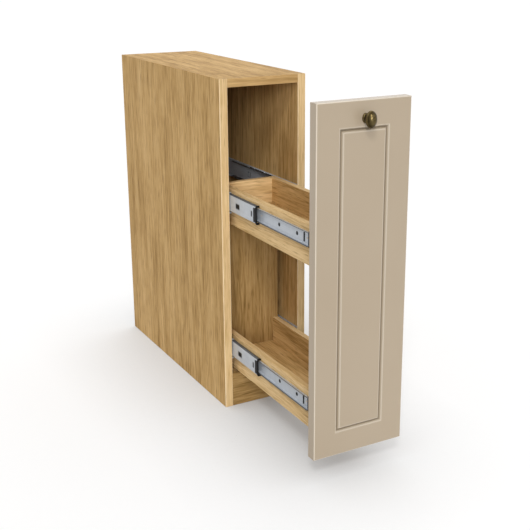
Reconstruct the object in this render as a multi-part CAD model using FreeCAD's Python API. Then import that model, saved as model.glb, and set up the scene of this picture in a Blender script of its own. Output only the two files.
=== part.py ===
import FreeCAD
import Part

import math
import os

# Narrow kitchen base cabinet with a two-tray pull-out on ball-bearing runners.
# Millimetres: +X to the right, +Y to the rear, +Z up.
# The origin is the middle of the plinth board's underside, on the floor.
# The pull-out stands partly open, and slides along Y.

# Carcass
unit_width = 200.0
unit_height = 720.0
unit_depth = 560.0
board = 18.0
edge_band = 1.0
plinth_height = 76.0
back_board = 8.0
back_setback = 20.0
housing_depth = 6.0
dowel_diameter = 8.0
dowel_length = 30.0
dowel_in_side = 12.0
dowel_end_distance = 60.0

# Pull-out front
pull_out_opening = 354.0
front_height = 670.0
front_bottom = 50.0
front_side_gap = 1.5
front_thickness = 22.0
front_edge_radius = 2.0
groove_margin = 51.0
groove_width = 6.0
groove_depth = 3.0
bumper_diameter = 9.0
bumper_thickness = 1.5
bumper_corner_distance = 9.0

# Oval knob, its long way upright; its neck and its rose are ovals of the same proportion
knob_length = 31.0
knob_width = 22.0
knob_projection = 29.0
knob_drop = 32.0
knob_rim = 4.0
knob_dome = 8.0
knob_flat_length = 9.0
knob_neck_length = 13.0
knob_sides = 32
dome_steps = 4
rose_length = 18.0
rose_thickness = 4.0
knob_bolt_diameter = 4.0
knob_bolt_reach = 12.0
knob_bolt_head_diameter = 9.0
knob_bolt_head_height = 1.6

# Trays
tray_length = 436.0
tray_height = 78.0
tray_wall = 13.0
tray_floor = 8.0
tray_floor_rise = 14.0
tray_groove = 5.0
lower_tray_bottom = 82.0
upper_tray_bottom = 410.0
tie_dowel_diameter = 6.0
tie_dowel_length = 30.0
tie_dowel_in_back = 10.0

# Runners
runner_space = 12.7
runner_height = 45.5
runner_rise = 52.0
runner_length = 450.0
runner_setback = 3.0
steel = 1.0
cradle_angle = 50.0
outer_hook_angle = 150.0
inner_hook_angle = 95.0
ball_diameter = 4.4
ball_play = 0.15
balls_in_row = 4
cage_steel = 0.4
cage_play = 0.3
outer_cage_length = 200.0
inner_cage_length = 100.0
intermediate_length = 416.0
stop_nose = 3.0
stop_grip = 8.0
stop_skin = 0.5
stop_play = 0.4
drawer_rail_setback = 44.0
buffer_nose = 2.5
buffer_tongue = 4.0
buffer_stand = 2.0
buffer_lip = 1.2
rail_bend_radius = 1.5
spare_hole_diameter = 8.0
slot_width = 2.5
slot_height = 10.0
slot_reach = 16.0
web_hole_reach = 78.0
window_size = 11.0
window_reach = 80.0
drawer_screw_reaches = (48.0, 117.0, 326.0)
drawer_hole_reach = 189.0
pin_hole_diameter = 4.0
pin_hole_reach = 10.0
catch_width = 4.0
catch_margin = 4.0
catch_reach = 21.0
catch_stand = 1.0

# Share of the pull-out's travel that each sliding member makes, and its setback when all is closed
intermediate_share = 0.33
outer_cage_share = 0.165
inner_cage_share = 0.665
stop_setback = 2.0
outer_cage_setback = 81.0
inner_cage_setback = 174.0

# Screws
screw_diameter = 4.0
screw_head_diameter = 8.0
rail_screw_length = 11.0
fixing_screw_length = 26.0
rod_sides = 10
screw_sides = 8

# Places that follow from the sizes
carcass_front = -board / 2
carcass_back = carcass_front + unit_depth
inner_face = unit_width / 2 - board
top_underside = unit_height - board
bottom_underside = plinth_height - board
front_rear_face = carcass_front - pull_out_opening
front_face = front_rear_face - front_thickness
front_top = front_bottom + front_height
tray_rear = front_rear_face + tray_length
tray_half_width = inner_face - runner_space
back_rear_face = carcass_back - back_setback
back_front_face = back_rear_face - back_board
rail_start = carcass_front + runner_setback
intermediate_start = carcass_front + stop_setback + stop_nose - intermediate_share * pull_out_opening
outer_cage_start = carcass_front + outer_cage_setback - outer_cage_share * pull_out_opening
inner_cage_start = carcass_front + inner_cage_setback - inner_cage_share * pull_out_opening
drawer_rail_start = front_rear_face + drawer_rail_setback
drawer_rail_length = tray_length - drawer_rail_setback
tray_bottoms = {"lower": lower_tray_bottom, "upper": upper_tray_bottom}

# Runner section: u runs from the carcass side to the tray, w up from the runner's middle
race = ball_diameter / 2 + ball_play
bend = race + steel / 2
outer_ball_u = steel / 2 + bend
outer_ball_w = runner_height / 2 - bend - steel / 2
inner_ball_u = outer_ball_u + 2 * bend * math.sin(math.radians(cradle_angle))
inner_ball_w = outer_ball_w - 2 * bend * math.cos(math.radians(cradle_angle))
web_u = steel + 2 * cage_play + cage_steel + steel / 2
flange_w = inner_ball_w - bend
buffer_half_height = inner_ball_w - race * math.cos(math.radians(cradle_angle)) + buffer_lip

os.makedirs("parts", exist_ok=True)


def vec(x, y, z):
    return FreeCAD.Vector(x, y, z)


def save(node, *solids):
    """Write one node, a single solid or a group of separate solids."""
    shape = solids[0] if len(solids) == 1 else Part.makeCompound(list(solids))
    shape.exportStep(os.path.join("parts", node + ".step"))


def block(x, y, z):
    """Box between two limits on each axis."""
    return Part.makeBox(x[1] - x[0], y[1] - y[0], z[1] - z[0], vec(x[0], y[0], z[0]))


def directions(sides):
    """Cosine and sine of evenly spaced angles, one for each corner of a ring."""
    angles = [2 * math.pi * (index + 0.5) / sides for index in range(sides)]
    return [(math.cos(angle), math.sin(angle)) for angle in angles]


def ring(sides, diameter, centre, axis):
    """Corners of a regular polygon square to axis, on the diameter."""
    upright = FreeCAD.Rotation(vec(0, 0, 1), axis)
    spokes = [vec(cosine, sine, 0).multiply(diameter / 2) for cosine, sine in directions(sides)]
    return [centre.add(upright.multVec(spoke)) for spoke in spokes]


def flat_face(corners):
    return Part.Face(Part.makePolygon(corners + corners[:1]))


def flat_solid(faces):
    """Solid bounded by flat faces that meet along their edges."""
    solid = Part.Solid(Part.Shell(faces))
    solid.fix(0, 0, 0)
    return solid


def flat_sided(*rings):
    """Solid with flat sides from each ring of corners to the next, closed at both ends."""
    faces = [flat_face(rings[0]), flat_face(rings[-1])]
    for low, high in zip(rings, rings[1:]):
        faces += [flat_face([low[i - 1], low[i], high[i], high[i - 1]]) for i in range(len(low))]
    return flat_solid(faces)


def rod(diameter, start, end):
    """Round rod, or the bore for one, with flat sides."""
    axis = end.sub(start)
    return flat_sided(ring(rod_sides, diameter, start, axis), ring(rod_sides, diameter, end, axis))


def mirrored(shape):
    """The same shape on the other side of the cabinet's middle plane."""
    return shape.mirror(vec(0, 0, 0), vec(1, 0, 0))


def both_sides(shapes):
    """Left-hand shapes together with their right-hand copies."""
    return shapes + [mirrored(shape) for shape in shapes]


def cut_all(shape, cutters):
    return shape.cut(cutters) if cutters else shape


def screw(point, direction, length):
    """Countersunk screw whose flat head lies at point and whose tip lies along direction."""
    head_depth = (screw_head_diameter - screw_diameter) / 2
    throat = point.add(vec(*direction).multiply(head_depth))
    tip = point.add(vec(*direction).multiply(length))
    return flat_sided(ring(screw_sides, screw_head_diameter, point, direction),
                      ring(screw_sides, screw_diameter, throat, direction),
                      ring(screw_sides, screw_diameter, tip, direction))


# Carcass boards


def carcass_dowels():
    """Dowels of the left side's joints with the top, the bottom and the plinth."""
    near_front = carcass_front + dowel_end_distance
    near_back = carcass_back - dowel_end_distance
    places = [(y, z - board / 2) for z in (unit_height, plinth_height) for y in (near_front, near_back)]
    places.append((carcass_front + board / 2, bottom_underside / 2))
    start_x = -inner_face - dowel_in_side
    end_x = start_x + dowel_length
    return [rod(dowel_diameter, vec(start_x, y, z), vec(end_x, y, z)) for y, z in places]


def back_panel():
    """Back that stands in housings of the sides, the top and the bottom."""
    half_width = inner_face + housing_depth
    return block((-half_width, half_width), (back_front_face, back_rear_face),
                 (plinth_height - housing_depth, top_underside + housing_depth))


def build_carcass():
    left_dowels = carcass_dowels()
    dowels = both_sides(left_dowels)
    back = back_panel()
    board_front = carcass_front + edge_band
    left_screws = [screw_ for height in tray_bottoms.values() for screw_ in cabinet_rail_screws(height)]
    left_side = block((-unit_width / 2, -inner_face), (board_front, carcass_back), (0, unit_height))
    left_side = cut_all(left_side, left_dowels + left_screws + [back])
    top = block((-inner_face, inner_face), (board_front, carcass_back), (top_underside, unit_height))
    bottom = block((-inner_face, inner_face), (carcass_front + board, carcass_back),
                   (bottom_underside, plinth_height))
    plinth = block((-inner_face, inner_face), (carcass_front, carcass_front + board), (0, plinth_height))
    left_band = block((-unit_width / 2, -inner_face), (carcass_front, board_front), (0, unit_height))
    top_band = block((-inner_face, inner_face), (carcass_front, board_front), (top_underside, unit_height))
    save("left_side_panel", left_side)
    save("right_side_panel", mirrored(left_side))
    save("top_panel", cut_all(top, dowels + [back]))
    save("bottom_panel", cut_all(bottom, dowels + [back]))
    save("plinth_board", cut_all(plinth, dowels))
    save("back_panel", back)
    save("left_edge_band", left_band)
    save("right_edge_band", mirrored(left_band))
    save("top_edge_band", top_band)
    save("carcass_dowels", *dowels)


# Pull-out front and knob


def rectangle(margin, y):
    """Corners of a rectangle parallel to the front, set in from its edges by margin."""
    half_width = unit_width / 2 - front_side_gap - margin
    low = front_bottom + margin
    high = front_top - margin
    return [vec(-half_width, y, low), vec(half_width, y, low),
            vec(half_width, y, high), vec(-half_width, y, high)]


def v_groove():
    """Ring with a V section, mitred at the corners, along a rectangle on the front."""
    middle = rectangle(groove_margin, front_face + groove_depth)
    outer = rectangle(groove_margin - groove_width / 2, front_face)
    inner = rectangle(groove_margin + groove_width / 2, front_face)
    return flat_sided(outer, middle).cut(flat_sided(inner, middle))


def on_axis(reach):
    """Point on the knob's axis, at a reach off the front."""
    return vec(0, front_face - reach, front_top - knob_drop)


def oval(length, reach):
    """Corners of an upright oval about the knob's axis, at a reach off the front."""
    width = length * knob_width / knob_length
    return [on_axis(reach).add(vec(width / 2 * cosine, 0, length / 2 * sine))
            for cosine, sine in directions(knob_sides)]


def knob():
    """Oval head, domed to a small flat, on a neck that flares up to its rim."""
    rim_top = knob_projection - knob_dome
    rim_foot = rim_top - knob_rim
    flare = rim_foot - knob_rim
    rings = [oval(knob_neck_length, rose_thickness), oval(knob_neck_length, flare)]
    rings.append(oval(knob_length, rim_foot))
    for step in range(dome_steps + 1):
        angle = math.pi / 2 * step / dome_steps
        length = knob_flat_length + (knob_length - knob_flat_length) * math.cos(angle)
        rings.append(oval(length, rim_top + knob_dome * math.sin(angle)))
    return flat_sided(*rings)


def rose():
    """Oval foot of the knob, with a bevelled edge."""
    bevel = rose_thickness / 2
    return flat_sided(oval(rose_length, 0), oval(rose_length, bevel),
                      oval(rose_length - 2 * bevel, rose_thickness))


def knob_bolt():
    """Bolt from the rear of the front, through it and the rose, into the knob."""
    rear = on_axis(-front_thickness)
    shank = rod(knob_bolt_diameter, rear, on_axis(knob_bolt_reach))
    head = rod(knob_bolt_head_diameter, on_axis(-front_thickness - knob_bolt_head_height), rear)
    return shank.fuse(head)


def bumpers():
    """Soft pads near the corners of the front, where it meets the carcass edges."""
    x = unit_width / 2 - bumper_corner_distance
    heights = (plinth_height, front_top - bumper_corner_distance)
    pads = [rod(bumper_diameter, vec(-x, front_rear_face, z), vec(-x, front_rear_face + bumper_thickness, z))
            for z in heights]
    return both_sides(pads)


def front_screws(tray_bottom):
    """Two screws that hold the front to a tray's front board."""
    head_y = front_rear_face + tray_wall
    z = tray_bottom + (tray_floor_rise + tray_floor + tray_height) / 2
    left = screw(vec(-tray_half_width / 2, head_y, z), vec(0, -1, 0), fixing_screw_length)
    return both_sides([left])


def build_front():
    half_width = unit_width / 2 - front_side_gap
    panel = block((-half_width, half_width), (front_face, front_rear_face), (front_bottom, front_top))
    show_edges = [edge for edge in panel.Edges if edge.CenterOfMass.y < front_face + front_edge_radius / 2]
    panel = panel.makeFillet(front_edge_radius, show_edges)
    bolt = knob_bolt()
    screws = [screw_ for height in tray_bottoms.values() for screw_ in front_screws(height)]
    save("front_panel", cut_all(panel, [v_groove(), bolt] + screws))
    save("knob", knob().cut(bolt))
    save("knob_rose", rose().cut(bolt))
    save("knob_bolt", bolt)
    save("front_bumpers", *bumpers())
    save("front_screws", *screws)


# Trays and tie board


def tray_floor_panel(tray_bottom):
    """Floor that stands in grooves of the boards round it."""
    half_width = tray_half_width - tray_wall + tray_groove
    low = tray_bottom + tray_floor_rise
    return block((-half_width, half_width),
                 (front_rear_face + tray_wall - tray_groove, tray_rear - tray_wall + tray_groove),
                 (low, low + tray_floor))


def tie_screws():
    """Screws through the tie board into the rear ends of the lower tray's sides."""
    x = -tray_half_width + tray_wall / 2
    floor_top = lower_tray_bottom + tray_floor_rise + tray_floor
    step = (lower_tray_bottom + tray_height - floor_top) / 3
    heights = [floor_top + step, floor_top + 2 * step]
    left = [screw(vec(x, tray_rear, z), vec(0, -1, 0), fixing_screw_length + tray_wall) for z in heights]
    return both_sides(left)


def tie_dowels():
    """Upright dowels between the tie board and the back of the upper tray."""
    x = -tray_half_width / 2
    y = tray_rear - tray_wall / 2
    top = upper_tray_bottom + tie_dowel_in_back
    return both_sides([rod(tie_dowel_diameter, vec(x, y, top - tie_dowel_length), vec(x, y, top))])


def build_tray(name, rear_of_sides):
    """One tray without its back: sides, front board and floor."""
    bottom = tray_bottoms[name]
    height = (bottom, bottom + tray_height)
    between = (-tray_half_width + tray_wall, tray_half_width - tray_wall)
    floor = tray_floor_panel(bottom)
    left = block((-tray_half_width, between[0]), (front_rear_face, rear_of_sides), height)
    left = cut_all(left, [floor] + drawer_rail_screws(bottom) + tie_screws())
    front = block(between, (front_rear_face, front_rear_face + tray_wall), height)
    save(name + "_tray_left_side", left)
    save(name + "_tray_right_side", mirrored(left))
    save(name + "_tray_front", cut_all(front, [floor] + front_screws(bottom)))
    save(name + "_tray_floor", floor)


def build_trays():
    build_tray("upper", tray_rear)
    build_tray("lower", tray_rear - tray_wall)
    between = (-tray_half_width + tray_wall, tray_half_width - tray_wall)
    rear_board = (tray_rear - tray_wall, tray_rear)
    upper_back = block(between, rear_board, (upper_tray_bottom, upper_tray_bottom + tray_height))
    tie_board = block((-tray_half_width, tray_half_width), rear_board, (lower_tray_bottom, upper_tray_bottom))
    dowels = tie_dowels()
    screws = tie_screws()
    save("upper_tray_back", cut_all(upper_back, dowels + [tray_floor_panel(upper_tray_bottom)]))
    save("tie_board", cut_all(tie_board, dowels + screws + [tray_floor_panel(lower_tray_bottom)]))
    save("tie_dowels", *dowels)
    save("tie_screws", *screws)


# Runners: every piece is made for the left side, with u along +X and w along +Z


def arc(start, middle, end):
    return Part.Arc(start, middle, end).toShape()


def beside(point, heading, side):
    """Point on the left (+1) or right (-1) face of the strip."""
    angle = math.radians(heading)
    return point.add(vec(-math.sin(angle), 0, math.cos(angle)).multiply(side * steel / 2))


def turn_about(point, centre, degrees):
    return centre.add(FreeCAD.Rotation(vec(0, -1, 0), degrees).multVec(point.sub(centre)))


def bent_strip(u, moves, start, length):
    """Rail of bent steel strip, alike above and below its middle.

    The strip's middle line starts at u, on the runner's middle, and heads up. Each move is a straight
    length with no turn, or a radius with a turn in degrees, which is positive to the left.
    """
    point = vec(u, start, 0)
    heading = 90.0
    faces = {1: [], -1: []}
    for size, turn in moves:
        angle = math.radians(heading)
        if turn:
            to_left = vec(-math.sin(angle), 0, math.cos(angle))
            centre = point.add(to_left.multiply(math.copysign(size, turn)))
            middle = turn_about(point, centre, turn / 2)
            end = turn_about(point, centre, turn)
            for side, edges in faces.items():
                edges.append(arc(beside(point, heading, side), beside(middle, heading + turn / 2, side),
                                 beside(end, heading + turn, side)))
        else:
            end = point.add(vec(math.cos(angle), 0, math.sin(angle)).multiply(size))
            for side, edges in faces.items():
                edges.append(Part.makeLine(beside(point, heading, side), beside(end, heading, side)))
        point = end
        heading += turn
    foot = Part.makeLine(beside(vec(u, start, 0), 90.0, 1), beside(vec(u, start, 0), 90.0, -1))
    tip = Part.makeLine(beside(point, heading, -1), beside(point, heading, 1))
    outline = Part.Wire(Part.__sortEdges__(faces[1] + faces[-1] + [foot, tip]))
    upper = Part.Face(outline).extrude(vec(0, length, 0))
    return upper.fuse(upper.mirror(vec(0, 0, 0), vec(0, 0, 1))).removeSplitter()


def placed(shape, tray_bottom):
    """The shape at the left carcass side, on the runner height of a tray."""
    moved = shape.copy()
    moved.translate(vec(-inner_face, 0, tray_bottom + runner_rise))
    return moved


def rail_hole(u, y, diameter=spare_hole_diameter):
    """Hole across a rail's web, for a spare screw unless another diameter is given."""
    return rod(diameter, vec(u - steel, y, 0), vec(u + steel, y, 0))


def rail_window(height, width, u, y):
    """Upright slot or square window across a rail's web."""
    return block((u - steel, u + steel), (y - width / 2, y + width / 2), (-height / 2, height / 2))


def cabinet_rail_screw_places():
    inset = runner_length / 8
    return [rail_start + inset, rail_start + runner_length - inset]


def cabinet_rail_screws(tray_bottom):
    """Screws of one left cabinet rail, flush with the inner face of its web."""
    return [placed(screw(vec(steel, y, 0), vec(-1, 0, 0), rail_screw_length), tray_bottom)
            for y in cabinet_rail_screw_places()]


def drawer_rail_screws(tray_bottom):
    """Screws of one left drawer rail, flush with the outer face of its web."""
    heads = [vec(runner_space - steel, drawer_rail_start + reach, 0) for reach in drawer_screw_reaches]
    return [placed(screw(head, vec(1, 0, 0), rail_screw_length), tray_bottom) for head in heads]


def cabinet_rail():
    """Outer member: a web whose edges hook over the outer balls."""
    moves = [(outer_ball_w, 0), (bend, -outer_hook_angle)]
    rail = bent_strip(steel / 2, moves, rail_start, runner_length)
    return rail.cut(rail_hole(steel / 2, rail_start + runner_length / 2))


def intermediate_rail():
    """Middle member: each edge cradles the outer balls and then hooks over the inner balls."""
    knee = outer_ball_u - web_u
    moves = [(outer_ball_w - bend - knee, 0), (knee, -90.0), (bend, cradle_angle), (bend, -inner_hook_angle)]
    rail = bent_strip(web_u, moves, intermediate_start, intermediate_length)
    slot = rail_window(slot_height, slot_width, web_u, intermediate_start + slot_reach)
    hole = rail_hole(web_u, intermediate_start + web_hole_reach)
    window_y = intermediate_start + intermediate_length - window_reach
    window = rail_window(window_size, window_size, web_u, window_y)
    return rail.cut([slot, hole, window])


def drawer_rail():
    """Inner member: a web on the tray whose flanges cradle the inner balls."""
    web_middle = runner_space - steel / 2
    flange = web_middle - rail_bend_radius - inner_ball_u
    moves = [(flange_w - rail_bend_radius, 0), (rail_bend_radius, 90.0), (flange, 0), (bend, -cradle_angle)]
    rail = bent_strip(web_middle, moves, drawer_rail_start, drawer_rail_length)
    hole = rail_hole(web_middle, drawer_rail_start + drawer_hole_reach)
    pin_hole = rail_hole(web_middle, drawer_rail_start + pin_hole_reach, pin_hole_diameter)
    return rail.cut([hole, pin_hole, catch()])


def catch():
    """Plastic release catch, an upright bar that fills a slot of the drawer rail's web and stands off it."""
    half_height = flange_w - catch_margin
    y = drawer_rail_start + catch_reach
    return block((runner_space - steel - catch_stand, runner_space),
                 (y - catch_width / 2, y + catch_width / 2), (-half_height, half_height))


def end_stop():
    """Plastic cap on the front end of an intermediate rail.

    It grips both faces of the web, and a claw at each end of its nose covers the rolled edge.
    The drawer rail's buffer passes between the claws.
    """
    web_outside = web_u - steel / 2
    web_inside = web_u + steel / 2
    half_height = outer_ball_w - bend
    grip_half = half_height - 2 * steel
    depth = (web_outside - stop_skin, web_inside + 3 * stop_skin)
    nose_run = (intermediate_start - stop_nose, intermediate_start)
    grip_run = (intermediate_start, intermediate_start + stop_grip)
    claw_top = inner_ball_w + bend + steel / 2 + stop_skin
    claw_foot = buffer_half_height + stop_play
    claw = block((web_inside, inner_ball_u + bend), nose_run, (claw_foot, claw_top))
    nose = block(depth, nose_run, (-half_height, half_height))
    outside = block((depth[0], web_outside), grip_run, (-grip_half, grip_half))
    inside = block((web_inside, depth[1]), grip_run, (-grip_half, grip_half))
    lower_claw = claw.mirror(vec(0, 0, 0), vec(0, 0, 1))
    return nose.fuse([outside, inside, claw, lower_claw]).removeSplitter()


def drawer_buffer():
    """Plastic buffer on the front end of a drawer rail: a nose over the steel, and a tongue on the web."""
    half_height = flange_w - rail_bend_radius
    web_inside = runner_space - steel
    nose_run = (drawer_rail_start - buffer_nose, drawer_rail_start)
    tongue_run = (drawer_rail_start, drawer_rail_start + buffer_tongue)
    nose = block((inner_ball_u, runner_space), nose_run, (-buffer_half_height, buffer_half_height))
    tongue = block((web_inside - buffer_stand, web_inside), tongue_run, (-half_height, half_height))
    return nose.fuse(tongue)


def row_places(start, length):
    """Ball places, evenly spaced along a cage."""
    step = length / balls_in_row
    return [start + step * (index + 0.5) for index in range(balls_in_row)]


def ball(u, y, w):
    """Ball as an icosahedron, with its corners on the ball's surface.

    Corners that share an edge are 2 * scale apart, and the next nearest are golden times as far.
    """
    golden = (1 + math.sqrt(5)) / 2
    scale = ball_diameter / 2 / math.hypot(1, golden)
    flat = [(0, a, b * golden) for a in (-1, 1) for b in (-1, 1)]
    corners = [vec(*(p[i:] + p[:i])).multiply(scale).add(vec(u, y, w)) for p in flat for i in range(3)]
    side = (1 + golden) * scale
    faces = []
    for i, a in enumerate(corners):
        for j, b in enumerate(corners[:i]):
            for c in corners[:j]:
                if max(a.distanceToPoint(b), b.distanceToPoint(c), c.distanceToPoint(a)) < side:
                    faces.append(flat_face([a, b, c]))
    return flat_solid(faces)


def ball_rows(u, w, places):
    return [ball(u, y, level) for y in places for level in (-w, w)]


def outer_cage():
    """Flat strip between the two webs, notched round the outer balls."""
    run = (outer_cage_start, outer_cage_start + outer_cage_length)
    half_height = outer_ball_w + ball_diameter / 8
    u = steel + cage_play
    strip = block((u, u + cage_steel), run, (-half_height, half_height))
    edges = ((outer_ball_w - race, runner_height), (-runner_height, race - outer_ball_w))
    return strip.cut([block((u - steel, u + steel), (y - race, y + race), limits)
                      for y in row_places(outer_cage_start, outer_cage_length) for limits in edges])


def inner_cage():
    """Channel inside the intermediate rail, notched round the inner balls."""
    run = (inner_cage_start, inner_cage_start + inner_cage_length)
    u = web_u + steel / 2 + cage_play
    tip = inner_ball_u - ball_diameter / 4
    top = inner_ball_w - cage_steel / 2
    web = block((u, u + cage_steel), run, (-top, top))
    flanges = [block((u, tip), run, limits) for limits in ((top - cage_steel, top), (-top, cage_steel - top))]
    across = (inner_ball_u - race, runner_space)
    full_height = (-runner_height, runner_height)
    pockets = [block(across, (y - race, y + race), full_height)
               for y in row_places(inner_cage_start, inner_cage_length)]
    return web.fuse(flanges).removeSplitter().cut(pockets)


def on_all_runners(shapes):
    """Copies of left-hand shapes on the four runners."""
    left = [placed(shape, bottom) for bottom in tray_bottoms.values() for shape in shapes]
    return both_sides(left)


def build_rails():
    members = {
        "cabinet_rail": (cabinet_rail(), cabinet_rail_screws),
        "intermediate_rail": (intermediate_rail(), None),
        "drawer_rail": (drawer_rail(), drawer_rail_screws),
    }
    for member, (rail, screws) in members.items():
        all_screws = []
        for level, bottom in tray_bottoms.items():
            rail_screws = screws(bottom) if screws else []
            left = cut_all(placed(rail, bottom), rail_screws)
            save(level + "_left_" + member, left)
            save(level + "_right_" + member, mirrored(left))
            all_screws += both_sides(rail_screws)
        if all_screws:
            save(member + "_screws", *all_screws)


def build_runner_fittings():
    outer_places = row_places(outer_cage_start, outer_cage_length)
    inner_places = row_places(inner_cage_start, inner_cage_length)
    save("intermediate_end_stops", *on_all_runners([end_stop()]))
    save("drawer_rail_buffers", *on_all_runners([drawer_buffer()]))
    save("drawer_rail_catches", *on_all_runners([catch()]))
    save("outer_ball_cages", *on_all_runners([outer_cage()]))
    save("inner_ball_cages", *on_all_runners([inner_cage()]))
    save("outer_balls", *on_all_runners(ball_rows(outer_ball_u, outer_ball_w, outer_places)))
    save("inner_balls", *on_all_runners(ball_rows(inner_ball_u, inner_ball_w, inner_places)))


build_carcass()
build_front()
build_trays()
build_rails()
build_runner_fittings()
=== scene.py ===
import logging
import math
from dataclasses import dataclass, field
from enum import Enum
from typing import Iterable, Sequence

import bmesh
import bpy
import numpy as np
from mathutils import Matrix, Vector


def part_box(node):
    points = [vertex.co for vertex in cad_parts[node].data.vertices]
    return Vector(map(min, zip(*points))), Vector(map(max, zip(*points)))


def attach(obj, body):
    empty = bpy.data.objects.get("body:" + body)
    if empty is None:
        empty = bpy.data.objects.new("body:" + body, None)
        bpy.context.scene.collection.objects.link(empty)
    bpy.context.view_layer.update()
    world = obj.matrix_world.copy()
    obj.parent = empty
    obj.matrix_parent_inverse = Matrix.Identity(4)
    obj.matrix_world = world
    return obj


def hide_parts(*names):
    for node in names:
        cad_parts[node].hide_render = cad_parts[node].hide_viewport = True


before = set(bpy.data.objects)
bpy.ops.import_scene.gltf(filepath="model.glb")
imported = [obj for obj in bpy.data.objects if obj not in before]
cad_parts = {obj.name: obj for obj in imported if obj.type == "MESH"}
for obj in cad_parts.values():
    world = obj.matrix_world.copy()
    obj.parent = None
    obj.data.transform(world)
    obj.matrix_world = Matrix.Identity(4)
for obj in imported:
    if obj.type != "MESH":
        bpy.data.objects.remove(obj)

# A narrow kitchen base cabinet with a two-tray pull-out, dressed for the eye.
# Sizes are millimetres in the classes, and become metres where a mesh is made.
# +X is to the right seen from the front, +Y to the rear and +Z up, as in the solids.

LOG = logging.getLogger("base_cabinet")
MM = 0.001
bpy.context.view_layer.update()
RIGHT_ANGLE = math.pi / 2

# Signs of the four corners of a rectangle, once round.
CORNERS = np.array([[1, 1], [-1, 1], [-1, -1], [1, -1]])

# A rounding is never quite nothing, and takes at most this share of a straight side.
LEAST_RADIUS = 0.004 * MM
SIDE_SHARE = 0.49


class Axis(Enum):
    """Axes of the cabinet's frame."""

    X = 0
    Y = 1
    Z = 2


class Side(Enum):
    """Sides of a board: the axis that a side faces along, and whether it is the high one."""

    LEFT = (0, 0)
    RIGHT = (0, 1)
    FRONT = (1, 0)
    REAR = (1, 1)
    BOTTOM = (2, 0)
    TOP = (2, 1)


class Hand(Enum):
    """Side of the cabinet, as the sign of its x."""

    LEFT = -1
    RIGHT = 1


class Body(Enum):
    """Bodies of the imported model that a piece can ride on."""

    CARCASS = "carcass"
    PULL_OUT = "pull_out"
    INTERMEDIATE = "intermediate_rails"
    OUTER_CAGES = "outer_cages"
    INNER_CAGES = "inner_cages"


# Surfaces


@dataclass
class Shell:
    """Surface made of points, in metres, and faces that are lists of point numbers."""

    points: np.ndarray
    faces: list[list[int]]


def join(shells: Iterable[Shell]) -> Shell:
    """Put several shells into one.

    Args:
        shells: Shells to put together; each keeps its own points.

    Returns:
        One shell with all the points and faces.
    """
    points: list[np.ndarray] = []
    faces: list[list[int]] = []
    count = 0
    for shell in shells:
        faces += [[corner + count for corner in face] for face in shell.faces]
        points.append(shell.points)
        count += len(shell.points)
    return Shell(np.concatenate(points), faces)


def grid_faces(index: np.ndarray) -> np.ndarray:
    """Faces of four between the neighbours of a grid of point numbers."""
    return np.stack([index[:-1, :-1], index[1:, :-1], index[1:, 1:], index[:-1, 1:]], axis=-1)


def grid_rim(index: np.ndarray) -> np.ndarray:
    """Point numbers once round the rim of a grid."""
    return np.concatenate([index[0, :-1], index[:-1, -1], index[-1, :0:-1], index[:0:-1, 0]])


def ring_faces(index: np.ndarray) -> np.ndarray:
    """Faces of four between neighbouring rings of point numbers, each ring closed on itself."""
    turned = np.roll(index, -1, axis=1)
    return np.stack([index[:-1], turned[:-1], turned[1:], index[1:]], axis=-1).reshape(-1, 4)


def carry(rings: np.ndarray) -> Shell:
    """Carry a closed profile along a path and close both ends.

    Row i is the profile at station i. Each face joins points j and j + 1 of one row, counted round the
    profile, to the same points of the next row, and the first and the last row are one flat face each.

    Args:
        rings: Array of stations by profile points by 3, in metres.

    Returns:
        The closed shell.
    """
    stations, around, _ = rings.shape
    index = np.arange(stations * around).reshape(stations, around)
    ends = [index[0, ::-1].tolist(), index[-1].tolist()]
    return Shell(rings.reshape(-1, 3), ring_faces(index).tolist() + ends)


def eased_block(low: Sequence[float], high: Sequence[float], radii: np.ndarray, steps: int = 3) -> Shell:
    """Block whose edges are rounded by quarter circles.

    The section across the longest side is a rectangle, and each corner is an arc: centre plus radius times
    cosine and sine. It is carried along the longest side, and towards each end it draws in by
    radius * (1 - sin t) while it advances by radius * (1 - cos t), with t from a right angle to zero.

    Args:
        low: Lowest corner in metres.
        high: Highest corner in metres.
        radii: Rounding in metres that each face allows, as 3 axes by (low, high) side; an edge takes the
            smaller of its two faces' values.
        steps: Facets in each quarter circle.

    Returns:
        The closed shell.
    """
    low, high = np.asarray(low, float), np.asarray(high, float)
    along = int(np.argmax(high - low))
    first, second = [axis for axis in range(3) if axis != along]
    turn = np.linspace(0.0, RIGHT_ANGLE, steps + 1)
    back = turn[::-1]
    angle = turn[None, :] + RIGHT_ANGLE * np.arange(4)[:, None]
    is_high = (CORNERS > 0).astype(int)
    corner = np.where(is_high, high[[first, second]], low[[first, second]])
    corner_radius = np.minimum(radii[first, is_high[:, 0]], radii[second, is_high[:, 1]])
    near, far = radii[along]
    inset = np.concatenate([near * (1 - np.sin(turn)), far * (1 - np.sin(back))])
    place = np.concatenate([low[along] + near * (1 - np.cos(turn)), high[along] - far * (1 - np.cos(back))])
    radius = np.maximum(corner_radius[None, :] - inset[:, None], LEAST_RADIUS)
    centre = corner[None] - CORNERS[None] * (inset[:, None] + radius)[..., None]
    arc = np.stack([np.cos(angle), np.sin(angle)], axis=-1)
    section = centre[:, :, None, :] + radius[:, :, None, None] * arc[None]
    rings = np.empty((len(place), 4 * (steps + 1), 3))
    rings[..., first] = section[..., 0].reshape(len(place), -1)
    rings[..., second] = section[..., 1].reshape(len(place), -1)
    rings[..., along] = place[:, None]
    return carry(rings)


def even_radii(radius: float) -> np.ndarray:
    """The same rounding, in millimetres, on every face of a block."""
    return np.full((3, 2), radius * MM)


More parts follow.
